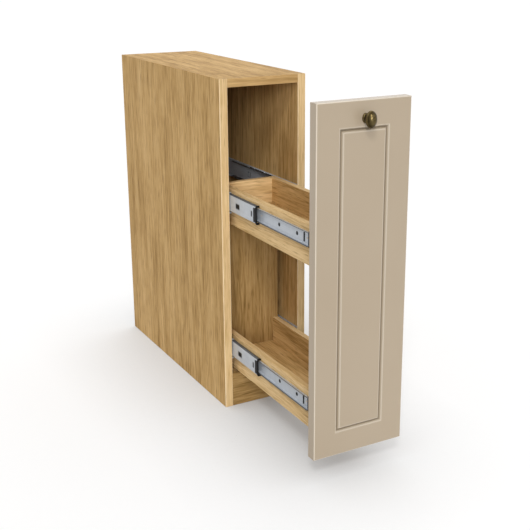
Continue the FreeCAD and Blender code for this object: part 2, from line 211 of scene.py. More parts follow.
def moulding(outline: np.ndarray, run: tuple[float, float], ease: float) -> Shell:
    """Closed outline carried straight along y, with chamfered ends.

    An end ring is the outline set in by the ease: each corner moves in along the sum of the unit normals of
    its two sides, divided by one plus their dot product.

    Args:
        outline: Rows of (u, w) in millimetres, once round, clockwise where u goes right and w up.
        run: First and last y in millimetres.
        ease: Chamfer in millimetres.

    Returns:
        The closed shell, as (u, y, w) in metres.
    """
    side = np.roll(outline, -1, axis=0) - outline
    side /= np.linalg.norm(side, axis=1, keepdims=True)
    inward = np.stack([side[:, 1], -side[:, 0]], axis=1)
    before = np.roll(inward, 1, axis=0)
    inset = ease * (inward + before) / (1 + (inward * before).sum(axis=1, keepdims=True))
    places = (run[0], run[0] + ease, run[1] - ease, run[1])
    rings = np.empty((len(places), len(outline), 3))
    for ring, place, share in zip(rings, places, (1.0, 0.0, 0.0, 1.0)):
        ring[:, [0, 2]] = outline + share * inset
        ring[:, 1] = place
    return carry(rings * MM)


def oval_rings(profile: np.ndarray, centre: Sequence[float], axis: Sequence[float], up: Sequence[float],
               breadth: float = 1.0, sides: int = 48) -> np.ndarray:
    """Rings of a turned or oval piece about an axis.

    Point (i, j) is centre + axis * reach_i + radius_i * (up * sin a_j + across * breadth * cos a_j), where
    across is square to both and a_j goes once round.

    Args:
        profile: Rows of (radius, reach along the axis) in millimetres.
        centre: Foot of the axis in metres.
        axis: Unit direction of the axis.
        up: Unit direction of the long way of the oval.
        breadth: Width over length of the oval; 1 is round.
        sides: Points round a ring.

    Returns:
        Array of stations by sides by 3, in metres.
    """
    forward, upward = np.asarray(axis, float), np.asarray(up, float)
    across = np.cross(upward, forward)
    angle = np.linspace(0.0, 2 * math.pi, sides, endpoint=False)
    spoke = np.sin(angle)[:, None] * upward + breadth * np.cos(angle)[:, None] * across
    return (np.asarray(centre, float) + (profile[:, 1, None] * forward)[:, None, :] * MM
            + profile[:, 0, None, None] * MM * spoke[None])


def rounded_line(points: Sequence[tuple[float, float, float]], steps: int = 6) -> np.ndarray:
    """Line through corners in a plane, each corner rounded.

    A corner with a reach r is replaced by the curve (1-t)^2 * a + 2t(1-t) * corner + t^2 * b, where a and b
    lie at r before and after the corner on its two straight sides, and t goes from 0 to 1.

    Args:
        points: Corners as (first, second, reach) in millimetres; a reach of 0 keeps the corner sharp. A
            closed line rounds its first and last corner too, and an open line gives them a reach of 0.
        steps: Points along each rounding, less one.

    Returns:
        Rows of (first, second).
    """
    corners = np.array(points, float)
    line: list[np.ndarray] = []
    t = np.linspace(0.0, 1.0, steps + 1)[:, None]
    for number, (x, y, reach) in enumerate(corners):
        here = np.array([x, y])
        if reach <= 0:
            line.append(here[None])
            continue
        ends = []
        for other in (number - 1, (number + 1) % len(corners)):
            side = corners[other, :2] - here
            length = np.linalg.norm(side)
            ends.append(here + side / length * min(reach, SIDE_SHARE * length))
        line.append((1 - t) ** 2 * ends[0] + 2 * t * (1 - t) * here + t ** 2 * ends[1])
    return np.concatenate(line)


def mesh_points(mesh: bpy.types.Mesh) -> np.ndarray:
    """Read the points of a mesh.

    Args:
        mesh: The mesh.

    Returns:
        Rows of x, y and z, in metres.
    """
    points = np.empty(len(mesh.vertices) * 3)
    mesh.vertices.foreach_get("co", points)
    return points.reshape(-1, 3)


# Nodes and finishes

# Sockets of a colour mix, and the setting that makes a mix one.
SHARE, FIRST, SECOND = 0, 6, 7
OF_COLOURS = {"data_type": "RGBA"}

# Rings that a wave texture of scale 1 draws in a unit of length.
RINGS_A_UNIT = 3.18


def linear(code: str) -> tuple[float, float, float, float]:
    """Turn an sRGB hex colour into linear light, by the standard's straight foot and power curve.

    Args:
        code: Six hex digits.

    Returns:
        Red, green, blue and an alpha of 1.
    """
    value = np.array([int(code[i:i + 2], 16) for i in (0, 2, 4)]) / 255.0
    light = np.where(value <= 0.04045, value / 12.92, ((value + 0.055) / 1.055) ** 2.4)
    return float(light[0]), float(light[1]), float(light[2]), 1.0


def first_output(node: bpy.types.Node) -> bpy.types.NodeSocket:
    """First output of a node that its settings leave in use."""
    return next(socket for socket in node.outputs if socket.enabled)


def add_node(tree: bpy.types.NodeTree, kind: str, inputs: dict | None = None,
             settings: dict | None = None) -> bpy.types.Node:
    """Add one node with its settings and its links.

    Args:
        tree: Node tree that takes the node.
        kind: Blender's name of the node type, less its prefix.
        inputs: Values by socket name or number. A socket is linked, and so is a node, by its first output in
            use; any other value is set.
        settings: Properties of the node by name.

    Returns:
        The node.
    """
    node = tree.nodes.new("ShaderNode" + kind)
    for name, value in (settings or {}).items():
        setattr(node, name, value)
    for name, value in (inputs or {}).items():
        if isinstance(value, bpy.types.Node):
            value = first_output(value)
        if isinstance(value, bpy.types.NodeSocket):
            tree.links.new(value, node.inputs[name])
        else:
            node.inputs[name].default_value = value
    return node


@dataclass(frozen=True)
class Finish:
    """A surface as its maker left it: its name, the record's slot, and its shader's plain values."""

    name: str
    slot: str
    roughness: float
    ior: float = 1.5
    metallic: float = 0.0
    sheen: float = 0.5
    coat: float = 0.0
    coat_roughness: float = 0.03

    def material(self) -> bpy.types.Material:
        """Make the material, or fetch it if it is made.

        Returns:
            The material.
        """
        made = bpy.data.materials.get(self.name)
        if made:
            return made
        made = bpy.data.materials.new(self.name)
        made.use_nodes = True
        tree = made.node_tree
        shader = tree.nodes["Principled BSDF"]
        values = {"Roughness": self.roughness, "Metallic": self.metallic, "Coat Weight": self.coat,
                  "Coat Roughness": self.coat_roughness}
        if not self.metallic:
            values.update({"IOR": self.ior, "Specular IOR Level": self.sheen})
        for name, value in values.items():
            shader.inputs[name].default_value = value
        for name, node in self.dress(tree).items():
            tree.links.new(first_output(node), shader.inputs[name])
        return made

    def dress(self, tree: bpy.types.NodeTree) -> dict[str, bpy.types.Node]:
        """Add the pattern of the surface; each finish has its own.

        Args:
            tree: Node tree of the material.

        Returns:
            Nodes that feed the shader, by socket name.
        """
        raise NotImplementedError


@dataclass(frozen=True)
class Figure:
    """One scale of streaks in the oak print: length and width in millimetres, and their part in the tone."""

    along: float
    across: float
    part: float = 1.0

    def scale(self) -> tuple[float, float, float]:
        """Streaks to a metre, along the grain and across it."""
        return 1 / (self.along * MM), 1 / (self.across * MM), 1.0


@dataclass(frozen=True)
class Marks(Figure):
    """Dark marks in the print: a noise's peaks from start up, whose part of the colour is whole at full."""

    start: float = 0.0
    full: float = 1.0


@dataclass(frozen=True)
class OakFoil(Finish):
    """Oak-effect melamine: a printed and embossed paper foil, pressed on board, with a satin skin."""

    ior: float = 1.45
    sheen: float = 0.06
    pale: str = "D5B27D"
    middle: str = "C09C66"
    deep: str = "997746"
    vein: str = "6B4D29"
    figures: tuple[Figure, ...] = (
        Figure(420.0, 36.0, 0.3),
        Figure(130.0, 75.0, 0.12),
        Figure(150.0, 9.0, 0.26),
        Figure(52.0, 3.0, 0.32),
    )
    drift: Figure = Figure(480.0, 80.0)
    drift_reach: float = 10.0
    ring_gap: float = 11.0
    flecks: Marks = Marks(44.0, 3.6, 0.55, 0.61, 0.74)
    pores: Marks = Marks(26.0, 1.2, 0.3, 0.58, 0.75)
    pore_depth: float = 0.12

    def dress(self, tree: bpy.types.NodeTree) -> dict[str, bpy.types.Node]:
        """Streaks of four widths, arched growth lines here and there, dark flecks and pores, along the grain.

        The eye sees streaks 3 to 75 mm wide that run far along the board and drift to and fro, arches where
        the print follows a plain-sawn plank, and short dark flecks. Real pores are 0.3 mm wide, too fine to
        show, so they are drawn 1.2 mm wide. The map's first value runs along the grain, in metres.

        Args:
            tree: Node tree of the material.

        Returns:
            Nodes that feed the shader, by socket name.
        """
        grain = add_node(tree, "UVMap", settings={"uv_map": "grain"})

        # The drift carries every mark to and fro across the grain, by up to its reach.
        drift_at = add_node(tree, "Mapping", {"Vector": grain, "Scale": self.drift.scale()})
        drift = add_node(tree, "TexNoise", {"Vector": drift_at, "Scale": 1.0, "Detail": 2.0})
        reach = self.drift_reach * MM
        side = add_node(tree, "Math", {0: drift, 1: 2 * reach, 2: -reach}, {"operation": "MULTIPLY_ADD"})
        shift = add_node(tree, "CombineXYZ", {"Y": side})
        drifted = add_node(tree, "VectorMath", {0: grain, 1: shift}, {"operation": "ADD"})

        # Streaks: each scale adds its part to the tone, whose middle is a half.
        tone: bpy.types.Node | float = 0.0
        for figure in self.figures:
            at = add_node(tree, "Mapping", {"Vector": drifted, "Scale": figure.scale()})
            streak = add_node(tree, "TexNoise", {"Vector": at, "Scale": 1.0, "Detail": 2.0,
                                                 "Roughness": 0.55})
            tone = add_node(tree, "Math", {0: streak, 1: figure.part, 2: tone}, {"operation": "MULTIPLY_ADD"})
        colour = add_node(tree, "ValToRGB", {"Fac": tone})
        ramp = colour.color_ramp
        ramp.elements[0].position, ramp.elements[0].color = 0.39, linear(self.deep)
        ramp.elements[1].position, ramp.elements[1].color = 0.61, linear(self.pale)
        ramp.elements.new(0.5).color = linear(self.middle)

        # Growth lines: rings of a log whose heart leans 7 mm in 100 under the face, cut flat. They show only
        # where the drift is high.
        log_at = add_node(tree, "Mapping", {"Vector": drifted, "Location": (0.04, 0.02, 0),
                                            "Scale": (0.07, 1, 0)})
        rings = 1 / (self.ring_gap * MM) / RINGS_A_UNIT
        growth = add_node(tree, "TexWave", {"Vector": log_at, "Scale": rings, "Distortion": 2.4,
                                            "Detail": 2.0, "Detail Scale": 0.8},
                          {"wave_type": "RINGS", "rings_direction": "Z", "wave_profile": "SAW"})
        line = add_node(tree, "MapRange", {"Value": growth.outputs["Fac"], "From Min": 0.5})
        shown = add_node(tree, "MapRange", {"Value": drift, "From Min": 0.48, "From Max": 0.64,
                                            "To Max": 0.22})
        arch = add_node(tree, "Math", {0: line, 1: shown}, {"operation": "MULTIPLY"})
        vein = linear(self.vein)
        colour = add_node(tree, "Mix", {SHARE: arch, FIRST: colour, SECOND: vein}, OF_COLOURS)

        # Flecks, then pores. The skin is a little duller in the pores, which are embossed.
        for marks in (self.flecks, self.pores):
            at = add_node(tree, "Mapping", {"Vector": drifted, "Scale": marks.scale()})
            peaks = add_node(tree, "TexNoise", {"Vector": at, "Scale": 1.0, "Detail": 1.0})
            dark = add_node(tree, "MapRange", {"Value": peaks, "From Min": marks.start,
                                               "From Max": marks.full, "To Max": marks.part})
            colour = add_node(tree, "Mix", {SHARE: dark, FIRST: colour, SECOND: vein}, OF_COLOURS)
        rough = add_node(tree, "MapRange", {"Value": dark, "From Max": self.pores.part,
                                            "To Min": self.roughness, "To Max": self.roughness + 0.15})
        bump = add_node(tree, "Bump", {"Height": dark, "Strength": 0.35, "Distance": self.pore_depth * MM},
                        {"invert": True})
        return {"Base Color": colour, "Roughness": rough, "Normal": bump}


@dataclass(frozen=True)
class Chipboard(Finish):
    """Sawn core of the board: pressed wood chips."""

    pale: str = "C9AE85"
    deep: str = "8E7049"
    flake: float = 3.0
    dust: float = 1.2

    def dress(self, tree: bpy.types.NodeTree) -> dict[str, bpy.types.Node]:
        """Flakes of pale and brown wood among finer dust, which leave a rough cut.

        Args:
            tree: Node tree of the material.

        Returns:
            Nodes that feed the shader, by socket name.
        """
        place = add_node(tree, "TexCoord").outputs["Object"]
        flakes = add_node(tree, "TexVoronoi", {"Vector": place, "Scale": 1 / (self.flake * MM),
                                               "Randomness": 1.0})
        dust = add_node(tree, "TexNoise", {"Vector": place, "Scale": 1 / (self.dust * MM), "Detail": 3.0})
        tone = add_node(tree, "Mix", {SHARE: dust, FIRST: linear(self.deep), SECOND: linear(self.pale)},
                        OF_COLOURS)
        mixed = add_node(tree, "Mix", {SHARE: 0.3, FIRST: tone, SECOND: flakes.outputs["Color"]},
                         {**OF_COLOURS, "blend_type": "SOFT_LIGHT"})
        bump = add_node(tree, "Bump", {"Height": dust, "Strength": 0.5, "Distance": 0.3 * MM})
        return {"Base Color": mixed, "Normal": bump}


@dataclass(frozen=True)
class SatinPaint(Finish):
    """Satin lacquer sprayed on fibreboard."""

    coat: float = 0.35
    coat_roughness: float = 0.14
    colour: str = "AF9F89"
    shade: str = "A99881"
    # Paler colour painted as a highlight on the arris and on the groove's lips.
    thin: str = "D3C8B6"
    # Darker colour painted as shade in the root of the groove.
    painted_groove_shade: str = "7D6F5A"
    cloud: float = 160.0
    pebble: float = 2.0

    def dress(self, tree: bpy.types.NodeTree) -> dict[str, bpy.types.Node]:
        """A calm taupe coat with a soft sheen, and the faint pebbling that a spray gun leaves.

        The pebbles are about 0.8 mm across; they are drawn 2 mm across, so that they show. A paler colour is
        painted on the arris and the groove's lips as a highlight, and a darker colour in the root of the
        groove as shade, each as much as its attribute says.

        Args:
            tree: Node tree of the material.

        Returns:
            Nodes that feed the shader, by socket name.
        """
        place = add_node(tree, "TexCoord").outputs["Object"]
        cloud = add_node(tree, "TexNoise", {"Vector": place, "Scale": 1 / (self.cloud * MM), "Detail": 2.0})
        tone = add_node(tree, "Mix", {SHARE: cloud, FIRST: linear(self.shade), SECOND: linear(self.colour)},
                        OF_COLOURS)
        # A painted highlight on the arris and the lips, then painted shade in the groove's root.
        for name, code in (("thin", self.thin), ("painted_groove_shade", self.painted_groove_shade)):
            much = add_node(tree, "Attribute", settings={"attribute_name": name}).outputs["Fac"]
            tone = add_node(tree, "Mix", {SHARE: much, FIRST: tone, SECOND: linear(code)}, OF_COLOURS)
        pebble = add_node(tree, "TexNoise", {"Vector": place, "Scale": 1 / (self.pebble * MM), "Detail": 2.0})
        rough = add_node(tree, "MapRange", {"Value": pebble, "To Min": self.roughness - 0.05,
                                            "To Max": self.roughness + 0.05})
        bump = add_node(tree, "Bump", {"Height": pebble, "Strength": 0.12, "Distance": 0.06 * MM})
        return {"Base Color": tone, "Roughness": rough, "Normal": bump}


@dataclass(frozen=True)
class PlatedSteel(Finish):
    """Cold-rolled steel strip with a zinc plate."""

    bright: str = "BCC1C7"
    dull: str = "B0B5BB"
    line: Figure = Figure(90.0, 1.4)
    cloud: float = 12.0
    # Dark colour painted as grease and shade in the races and round the openings.
    grease: str = "232426"
    grease_share: float = 0.85

    def dress(self, tree: bpy.types.NodeTree) -> dict[str, bpy.types.Node]:
        """A cool grey metal with fine lines along the strip from rolling, a cloudy plate, and dark grease
        with painted shade.

        Rolling lines are finer than 0.2 mm; they are drawn wider, so that they show. Where its attribute is
        one, a dark colour is painted in the ball races and round the openings of the intermediate rail:
        partly grease, partly painted shade.

        Args:
            tree: Node tree of the material.

        Returns:
            Nodes that feed the shader, by socket name.
        """
        place = add_node(tree, "TexCoord").outputs["Object"]
        along, across, _ = self.line.scale()
        rolled = add_node(tree, "Mapping", {"Vector": place, "Scale": (across, along, across)})
        line = add_node(tree, "TexNoise", {"Vector": rolled, "Scale": 1.0, "Detail": 2.0})
        cloud = add_node(tree, "TexNoise", {"Vector": place, "Scale": 1 / (self.cloud * MM), "Detail": 3.0})
        both = add_node(tree, "Math", {0: line, 1: cloud}, {"operation": "ADD"})
        share = add_node(tree, "MapRange", {"Value": both, "From Min": 0.7, "From Max": 1.3})
        tone = add_node(tree, "Mix", {SHARE: share, FIRST: linear(self.dull), SECOND: linear(self.bright)},
                        OF_COLOURS)
        # Dark grease and painted shade in the races and round the openings.
        painted_shade_and_grease = add_node(tree, "Attribute", settings={"attribute_name": "grease"}).outputs["Fac"]
        held = add_node(tree, "Math", {0: painted_shade_and_grease, 1: self.grease_share}, {"operation": "MULTIPLY"})
        with_grease_and_shade = add_node(tree, "Mix", {SHARE: held, FIRST: tone, SECOND: linear(self.grease)}, OF_COLOURS)
        rough = add_node(tree, "MapRange", {"Value": cloud, "To Min": self.roughness - 0.08,
                                            "To Max": self.roughness + 0.08})
        return {"Base Color": with_grease_and_shade, "Roughness": rough}


@dataclass(frozen=True)
class MouldedPlastic(Finish):
    """Polymer moulded in a spark-eroded tool."""

    colour: str = "0C0C0D"
    worn: str = "18181A"
    grit: float = 0.5

    def dress(self, tree: bpy.types.NodeTree) -> dict[str, bpy.types.Node]:
        """A dull, even skin with a fine grit that the tool's wall leaves.

        Args:
            tree: Node tree of the material.

        Returns:
            Nodes that feed the shader, by socket name.
        """
        place = add_node(tree, "TexCoord").outputs["Object"]
        grit = add_node(tree, "TexNoise", {"Vector": place, "Scale": 1 / (self.grit * MM), "Detail": 2.0})
        tone = add_node(tree, "Mix", {SHARE: grit, FIRST: linear(self.colour), SECOND: linear(self.worn)},
                        OF_COLOURS)
        bump = add_node(tree, "Bump", {"Height": grit, "Strength": 0.3, "Distance": 0.05 * MM})
        return {"Base Color": tone, "Normal": bump}


@dataclass(frozen=True)
class AntiqueBrass(Finish):
    """Brass castings that are browned in a bath, then buffed on the high parts and lacquered."""

    brown: str = "261E10"
    warm: str = "41361E"
    buffed: str = "877751"
    cloud: float = 5.0

    def dress(self, tree: bpy.types.NodeTree) -> dict[str, bpy.types.Node]:
        """Dark olive brown that clouds over a few millimetres, and brighter where the attribute buff is high.

        Args:
            tree: Node tree of the material.

        Returns:
            Nodes that feed the shader, by socket name.
        """
        place = add_node(tree, "TexCoord").outputs["Object"]
        cloud = add_node(tree, "TexNoise", {"Vector": place, "Scale": 1 / (self.cloud * MM), "Detail": 4.0,
                                            "Roughness": 0.6})
        tone = add_node(tree, "Mix", {SHARE: cloud, FIRST: linear(self.brown), SECOND: linear(self.warm)},
                        OF_COLOURS)
        buff = add_node(tree, "Attribute", settings={"attribute_name": "buff"}).outputs["Fac"]
        speck = add_node(tree, "Math", {0: buff, 1: cloud}, {"operation": "MULTIPLY"})
        bright = add_node(tree, "Mix", {SHARE: speck, FIRST: tone, SECOND: linear(self.buffed)}, OF_COLOURS)
        rough = add_node(tree, "MapRange", {"Value": cloud, "To Min": self.roughness - 0.1,
                                            "To Max": self.roughness + 0.1})
        return {"Base Color": bright, "Roughness": rough}


@dataclass(frozen=True)
class Beech(Finish):
    """Turned and fluted beech rod."""

    pale: str = "D3B184"
    brown: str = "A87F50"
    fleck: float = 2.0

    def dress(self, tree: bpy.types.NodeTree) -> dict[str, bpy.types.Node]:
        """Pale wood with the short brown flecks of beech.

        Args:
            tree: Node tree of the material.

        Returns:
            Nodes that feed the shader, by socket name.
        """
        place = add_node(tree, "TexCoord").outputs["Object"]
        fleck = add_node(tree, "TexNoise", {"Vector": place, "Scale": 1 / (self.fleck * MM), "Detail": 3.0})
        tone = add_node(tree, "Mix", {SHARE: fleck, FIRST: linear(self.pale), SECOND: linear(self.brown)},
                        OF_COLOURS)
        return {"Base Color": tone}


OAK = OakFoil("oak_effect_melamine_embossed", "oak_board", 0.56)
# A darker copy of the oak: painted shade for the plinth and the tie board.
OAK_PAINTED_SHADE = OakFoil("oak_effect_melamine_painted_shade", "oak_board", 0.56, pale="B39363", middle="9E7F50",
                     deep="7F6238", vein="5A4021")
# A paler copy of the oak: painted light, for the lit outer left side of each tray.
OAK_PAINTED_LIGHT = OakFoil("oak_effect_melamine_painted_light", "oak_board", 0.56, pale="E8CA9A", middle="D8B886",
                   deep="B79460", vein="89683E")
OAK_EDGE = OakFoil("oak_effect_edge_band_pressed", "oak_edge", 0.5, pale="E0C496", middle="D6B787",
                   deep="C3A16D", vein="9E7E4C", pore_depth=0.06)
# A pale, glossier copy of the edge band: painted highlight on the bands' rounded arrises.
OAK_PAINTED_HIGHLIGHT = OakFoil("oak_effect_edge_band_painted_highlight", "oak_edge", 0.4, pale="F6E3C2", middle="EFD8B0",
                    deep="DDBE8E", vein="B79766", sheen=0.5, pore_depth=0.04)
OAK_TOP_EDGE = OakFoil("oak_effect_top_edge_band_pressed", "oak_edge", 0.5, pale="CFAD79", middle="BE9B68",
                       deep="A58352", vein="7F5F36", pore_depth=0.06)
CORE = Chipboard("chipboard_core_sawn", "oak_board", 0.85)
PAINT = SatinPaint("taupe_lacquer_sprayed_satin", "painted_front", 0.42)
ZINC = PlatedSteel("zinc_plated_steel_rolled", "zinc_steel", 0.36, metallic=0.2)
BLACK_ZINC = PlatedSteel("black_zinc_steel_cold_headed", "screw_steel", 0.42, metallic=1.0, bright="1C1D1F",
                         dull="0E0E10", line=Figure(90.0, 0.6))
BEARING = PlatedSteel("bearing_steel_ground_polished", "bearing_steel", 0.14, metallic=1.0, bright="D8DBE0",
                      dull="C3C7CE", line=Figure(90.0, 0.8))
PLASTIC = MouldedPlastic("black_acetal_moulded", "black_plastic", 0.6, ior=1.48, sheen=0.2)
PAD = MouldedPlastic("soft_polyurethane_pad_cast", "soft_pad", 0.3, colour="C9C8C2", worn="DAD9D4", grit=1.2)
BRASS = AntiqueBrass("antique_brass_cast_browned", "antique_brass", 0.3, metallic=1.0)
BEECH = Beech("beech_rod_turned", "beech_dowel", 0.6)


# Pieces


def make_piece(name: str, shell: Shell, finishes: Sequence[Finish], body: Body, nodes: Sequence[str],
               sharp_degrees: float) -> bpy.types.Object:
    """Make an object from a shell, dress it and seat it on its body.

    Args:
        name: Name of the piece.
        shell: Its surface.
        finishes: Finishes for its material slots; the first names the record's slot.
        body: Body that it rides on.
        nodes: Solids that it stands for.
        sharp_degrees: Edges that turn more than this stay sharp, and the rest are smooth.

    Returns:
        The object.
    """
    mesh = bpy.data.meshes.new(name)
    mesh.from_pydata(shell.points.tolist(), [], shell.faces)
    work = bmesh.new()
    work.from_mesh(mesh)
    bmesh.ops.recalc_face_normals(work, faces=work.faces)
    work.to_mesh(mesh)
    work.free()
    mesh.shade_smooth()
    mesh.set_sharp_from_angle(angle=math.radians(sharp_degrees))
    piece = bpy.data.objects.new(name, mesh)
    bpy.context.scene.collection.objects.link(piece)
    for finish in finishes:
        mesh.materials.append(finish.material())
    piece.modifiers.new("even_shading", "WEIGHTED_NORMAL").keep_sharp = True
    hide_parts(*nodes)
    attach(piece, body.value)
    LOG.info("%s: %d faces on %s", name, len(mesh.polygons), body.value)
    return piece


def mark_points(mesh: bpy.types.Mesh, name: str, values: np.ndarray) -> None:
    """Store one value a point, from 0 to 1, in a named attribute for a finish to read."""
    mesh.attributes.new(name, "FLOAT", "POINT").data.foreach_set("value", values.astype(np.float32))


def dress_node(node: str, finish: Finish) -> None:
    """Give a solid that is shown as it is its finish.

    Args:
        node: Name of the solid.
        finish: Its finish.
    """
    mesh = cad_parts[node].data
    mesh.materials.clear()
    mesh.materials.append(finish.material())
    LOG.info("%s: solid dressed in %s", node, finish.name)


# How far the print moves, in metres along and across the grain, from board to board and from face to face.
BOARD_STEP = np.array([1.37, 0.83])
FACE_STEP = np.array([0.31, 0.17])

ENDS = (Side.LEFT, Side.RIGHT)
TOP_AND_BOTTOM = (Side.BOTTOM, Side.TOP)


@dataclass
class Board:
    """One board of oak-effect chipboard, with its grain, its edges and its place in the print.

    A butted side meets another board flush, so its arris is hardly eased. The trim lies on the rounded
    arrises, whose faces turn away from every axis; on the edge bands it is a paler painted highlight.
    """

    node: str
    body: Body
    grain: Axis
    serial: int
    edges: dict[Side, Finish] = field(default_factory=dict)
    butted: tuple[Side, ...] = ()
    face: Finish = OAK
    arris: float = 0.5
    trim: Finish | None = None
    butted_arris: float = 0.02
    flat_cosine: float = 0.995

    def build(self) -> None:
        """Make the board as an eased block in the solid's box, and lay the print on it."""
        finishes = list(dict.fromkeys([self.face, *self.edges.values(), *([self.trim] if self.trim else [])]))
        radii = even_radii(self.arris)
        for side in self.butted:
            radii[side.value] = self.butted_arris * MM
        shell = eased_block(*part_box(self.node), radii)
        piece = make_piece("board_" + self.node, shell, finishes, self.body, [self.node], 60.0)
        self.lay_print(piece.data, finishes)

    def lay_print(self, mesh: bpy.types.Mesh, finishes: Sequence[Finish]) -> None:
        """Map the print: the first value runs along the grain, and along the edge on a face across it.

        Each face takes its place in metres, moved by the board's serial number so that no two boards are
        alike.

        Args:
            mesh: The board's mesh.
            finishes: Finishes in the order of its slots.
        """
        faces = len(mesh.polygons)
        normal = np.empty(faces * 3)
        mesh.polygons.foreach_get("normal", normal)
        normal = normal.reshape(-1, 3)
        facing = np.abs(normal).argmax(axis=1)
        is_high = normal[np.arange(faces), facing] > 0
        points = mesh_points(mesh)
        size = np.ptp(points, axis=0)
        others = [[axis for axis in range(3) if axis != across] for across in range(3)]
        longest = np.array([max(pair, key=lambda axis: size[axis]) for pair in others])
        along = np.where(facing == self.grain.value, longest[facing], self.grain.value)
        across = 3 - facing - along
        corner = np.empty(len(mesh.loops), int)
        mesh.loops.foreach_get("vertex_index", corner)
        count = np.empty(faces, int)
        mesh.polygons.foreach_get("loop_total", count)
        owner = np.repeat(np.arange(faces), count)
        place = np.stack([points[corner, along[owner]], points[corner, across[owner]]], axis=1)
        place += BOARD_STEP * self.serial
        place += (FACE_STEP * (facing + 3 * is_high)[:, None])[owner]
        mesh.uv_layers.new(name="grain").data.foreach_set("uv", place.ravel())
        slot = np.zeros(faces, int)
        for side, finish in self.edges.items():
            axis, high = side.value
            slot[(facing == axis) & (is_high == bool(high))] = finishes.index(finish)
        if self.trim:
            slot[np.abs(normal).max(axis=1) < self.flat_cosine] = finishes.index(self.trim)
        mesh.polygons.foreach_set("material_index", slot)


@dataclass
class Carcass:
    """The fixed oak-effect box: sides, top, bottom, plinth, back and the bands on its front edges."""

    band_arris: float = 0.9

    def build(self) -> None:
        """Make the boards and bands, and dress the hidden dowels."""
        fixed, band = Body.CARCASS, self.band_arris
        sawn_rear, sawn_foot = {Side.REAR: CORE}, {Side.BOTTOM: CORE}
        sawn = {**sawn_rear, **sawn_foot}
        upright = (Side.REAR, *TOP_AND_BOTTOM)
        boards = (
            Board("left_side_panel", fixed, Axis.Z, 1, sawn, (Side.FRONT,)),
            Board("right_side_panel", fixed, Axis.Z, 2, sawn, (Side.FRONT,)),
            Board("top_panel", fixed, Axis.Y, 3, sawn_rear, (Side.FRONT, *ENDS)),
            Board("bottom_panel", fixed, Axis.Y, 4, sawn_rear, (Side.FRONT, *ENDS)),
            # The plinth takes the darker copy of the oak as painted shade.
            Board("plinth_board", fixed, Axis.X, 5, sawn_foot, ENDS, OAK_PAINTED_SHADE),
            Board("back_panel", fixed, Axis.Z, 6, {}, ENDS + TOP_AND_BOTTOM),
            # The bands' rounded arrises carry the painted highlight.
            Board("left_edge_band", fixed, Axis.Z, 7, {}, upright, OAK_EDGE, band, OAK_PAINTED_HIGHLIGHT),
            Board("right_edge_band", fixed, Axis.Z, 8, {}, upright, OAK_EDGE, band, OAK_PAINTED_HIGHLIGHT),
            Board("top_edge_band", fixed, Axis.X, 9, {}, (Side.REAR, *ENDS), OAK_TOP_EDGE, band),
        )
        for board in boards:
            board.build()
        dress_node("carcass_dowels", BEECH)


@dataclass
class Tray:
    """One tray of thin oak-effect boards round a floor."""

    name: str
    serial: int
    has_back: bool

    def build(self) -> None:
        """Make the sides, the front, the floor and, where it has its own, the back."""
        rims = {Side.TOP: OAK_EDGE, Side.BOTTOM: OAK_EDGE, Side.REAR: OAK_EDGE}
        rows = [
            # The left side, the front and the back take the paler copy as painted light; the right side and
            # the floor keep plain oak.
            ("left_side", Axis.Y, rims, (Side.FRONT,), OAK_PAINTED_LIGHT),
            ("right_side", Axis.Y, rims, (Side.FRONT,), OAK),
            ("front", Axis.X, rims, (Side.FRONT, *ENDS), OAK_PAINTED_LIGHT),
            ("floor", Axis.Y, {}, (*ENDS, Side.FRONT, Side.REAR), OAK),
        ]
        if self.has_back:
            rows.append(("back", Axis.X, rims, ENDS, OAK_PAINTED_LIGHT))
        for number, (place, grain, edges, butted, face) in enumerate(rows):
            node = f"{self.name}_tray_{place}"
            Board(node, Body.PULL_OUT, grain, self.serial + number, edges, butted, face).build()


@dataclass
class TieBoard:
    """Tall board at the rear of the pull-out that ties the two trays."""

    serial: int = 30

    def build(self) -> None:
        """Make the board and dress its hidden dowels."""
        bands = {Side.LEFT: OAK_EDGE, Side.RIGHT: OAK_EDGE, Side.BOTTOM: OAK_EDGE}
        # The tie board takes the darker copy of the oak as painted shade.
        Board("tie_board", Body.PULL_OUT, Axis.Z, self.serial, bands, (Side.TOP,), OAK_PAINTED_SHADE).build()
        dress_node("tie_dowels", BEECH)


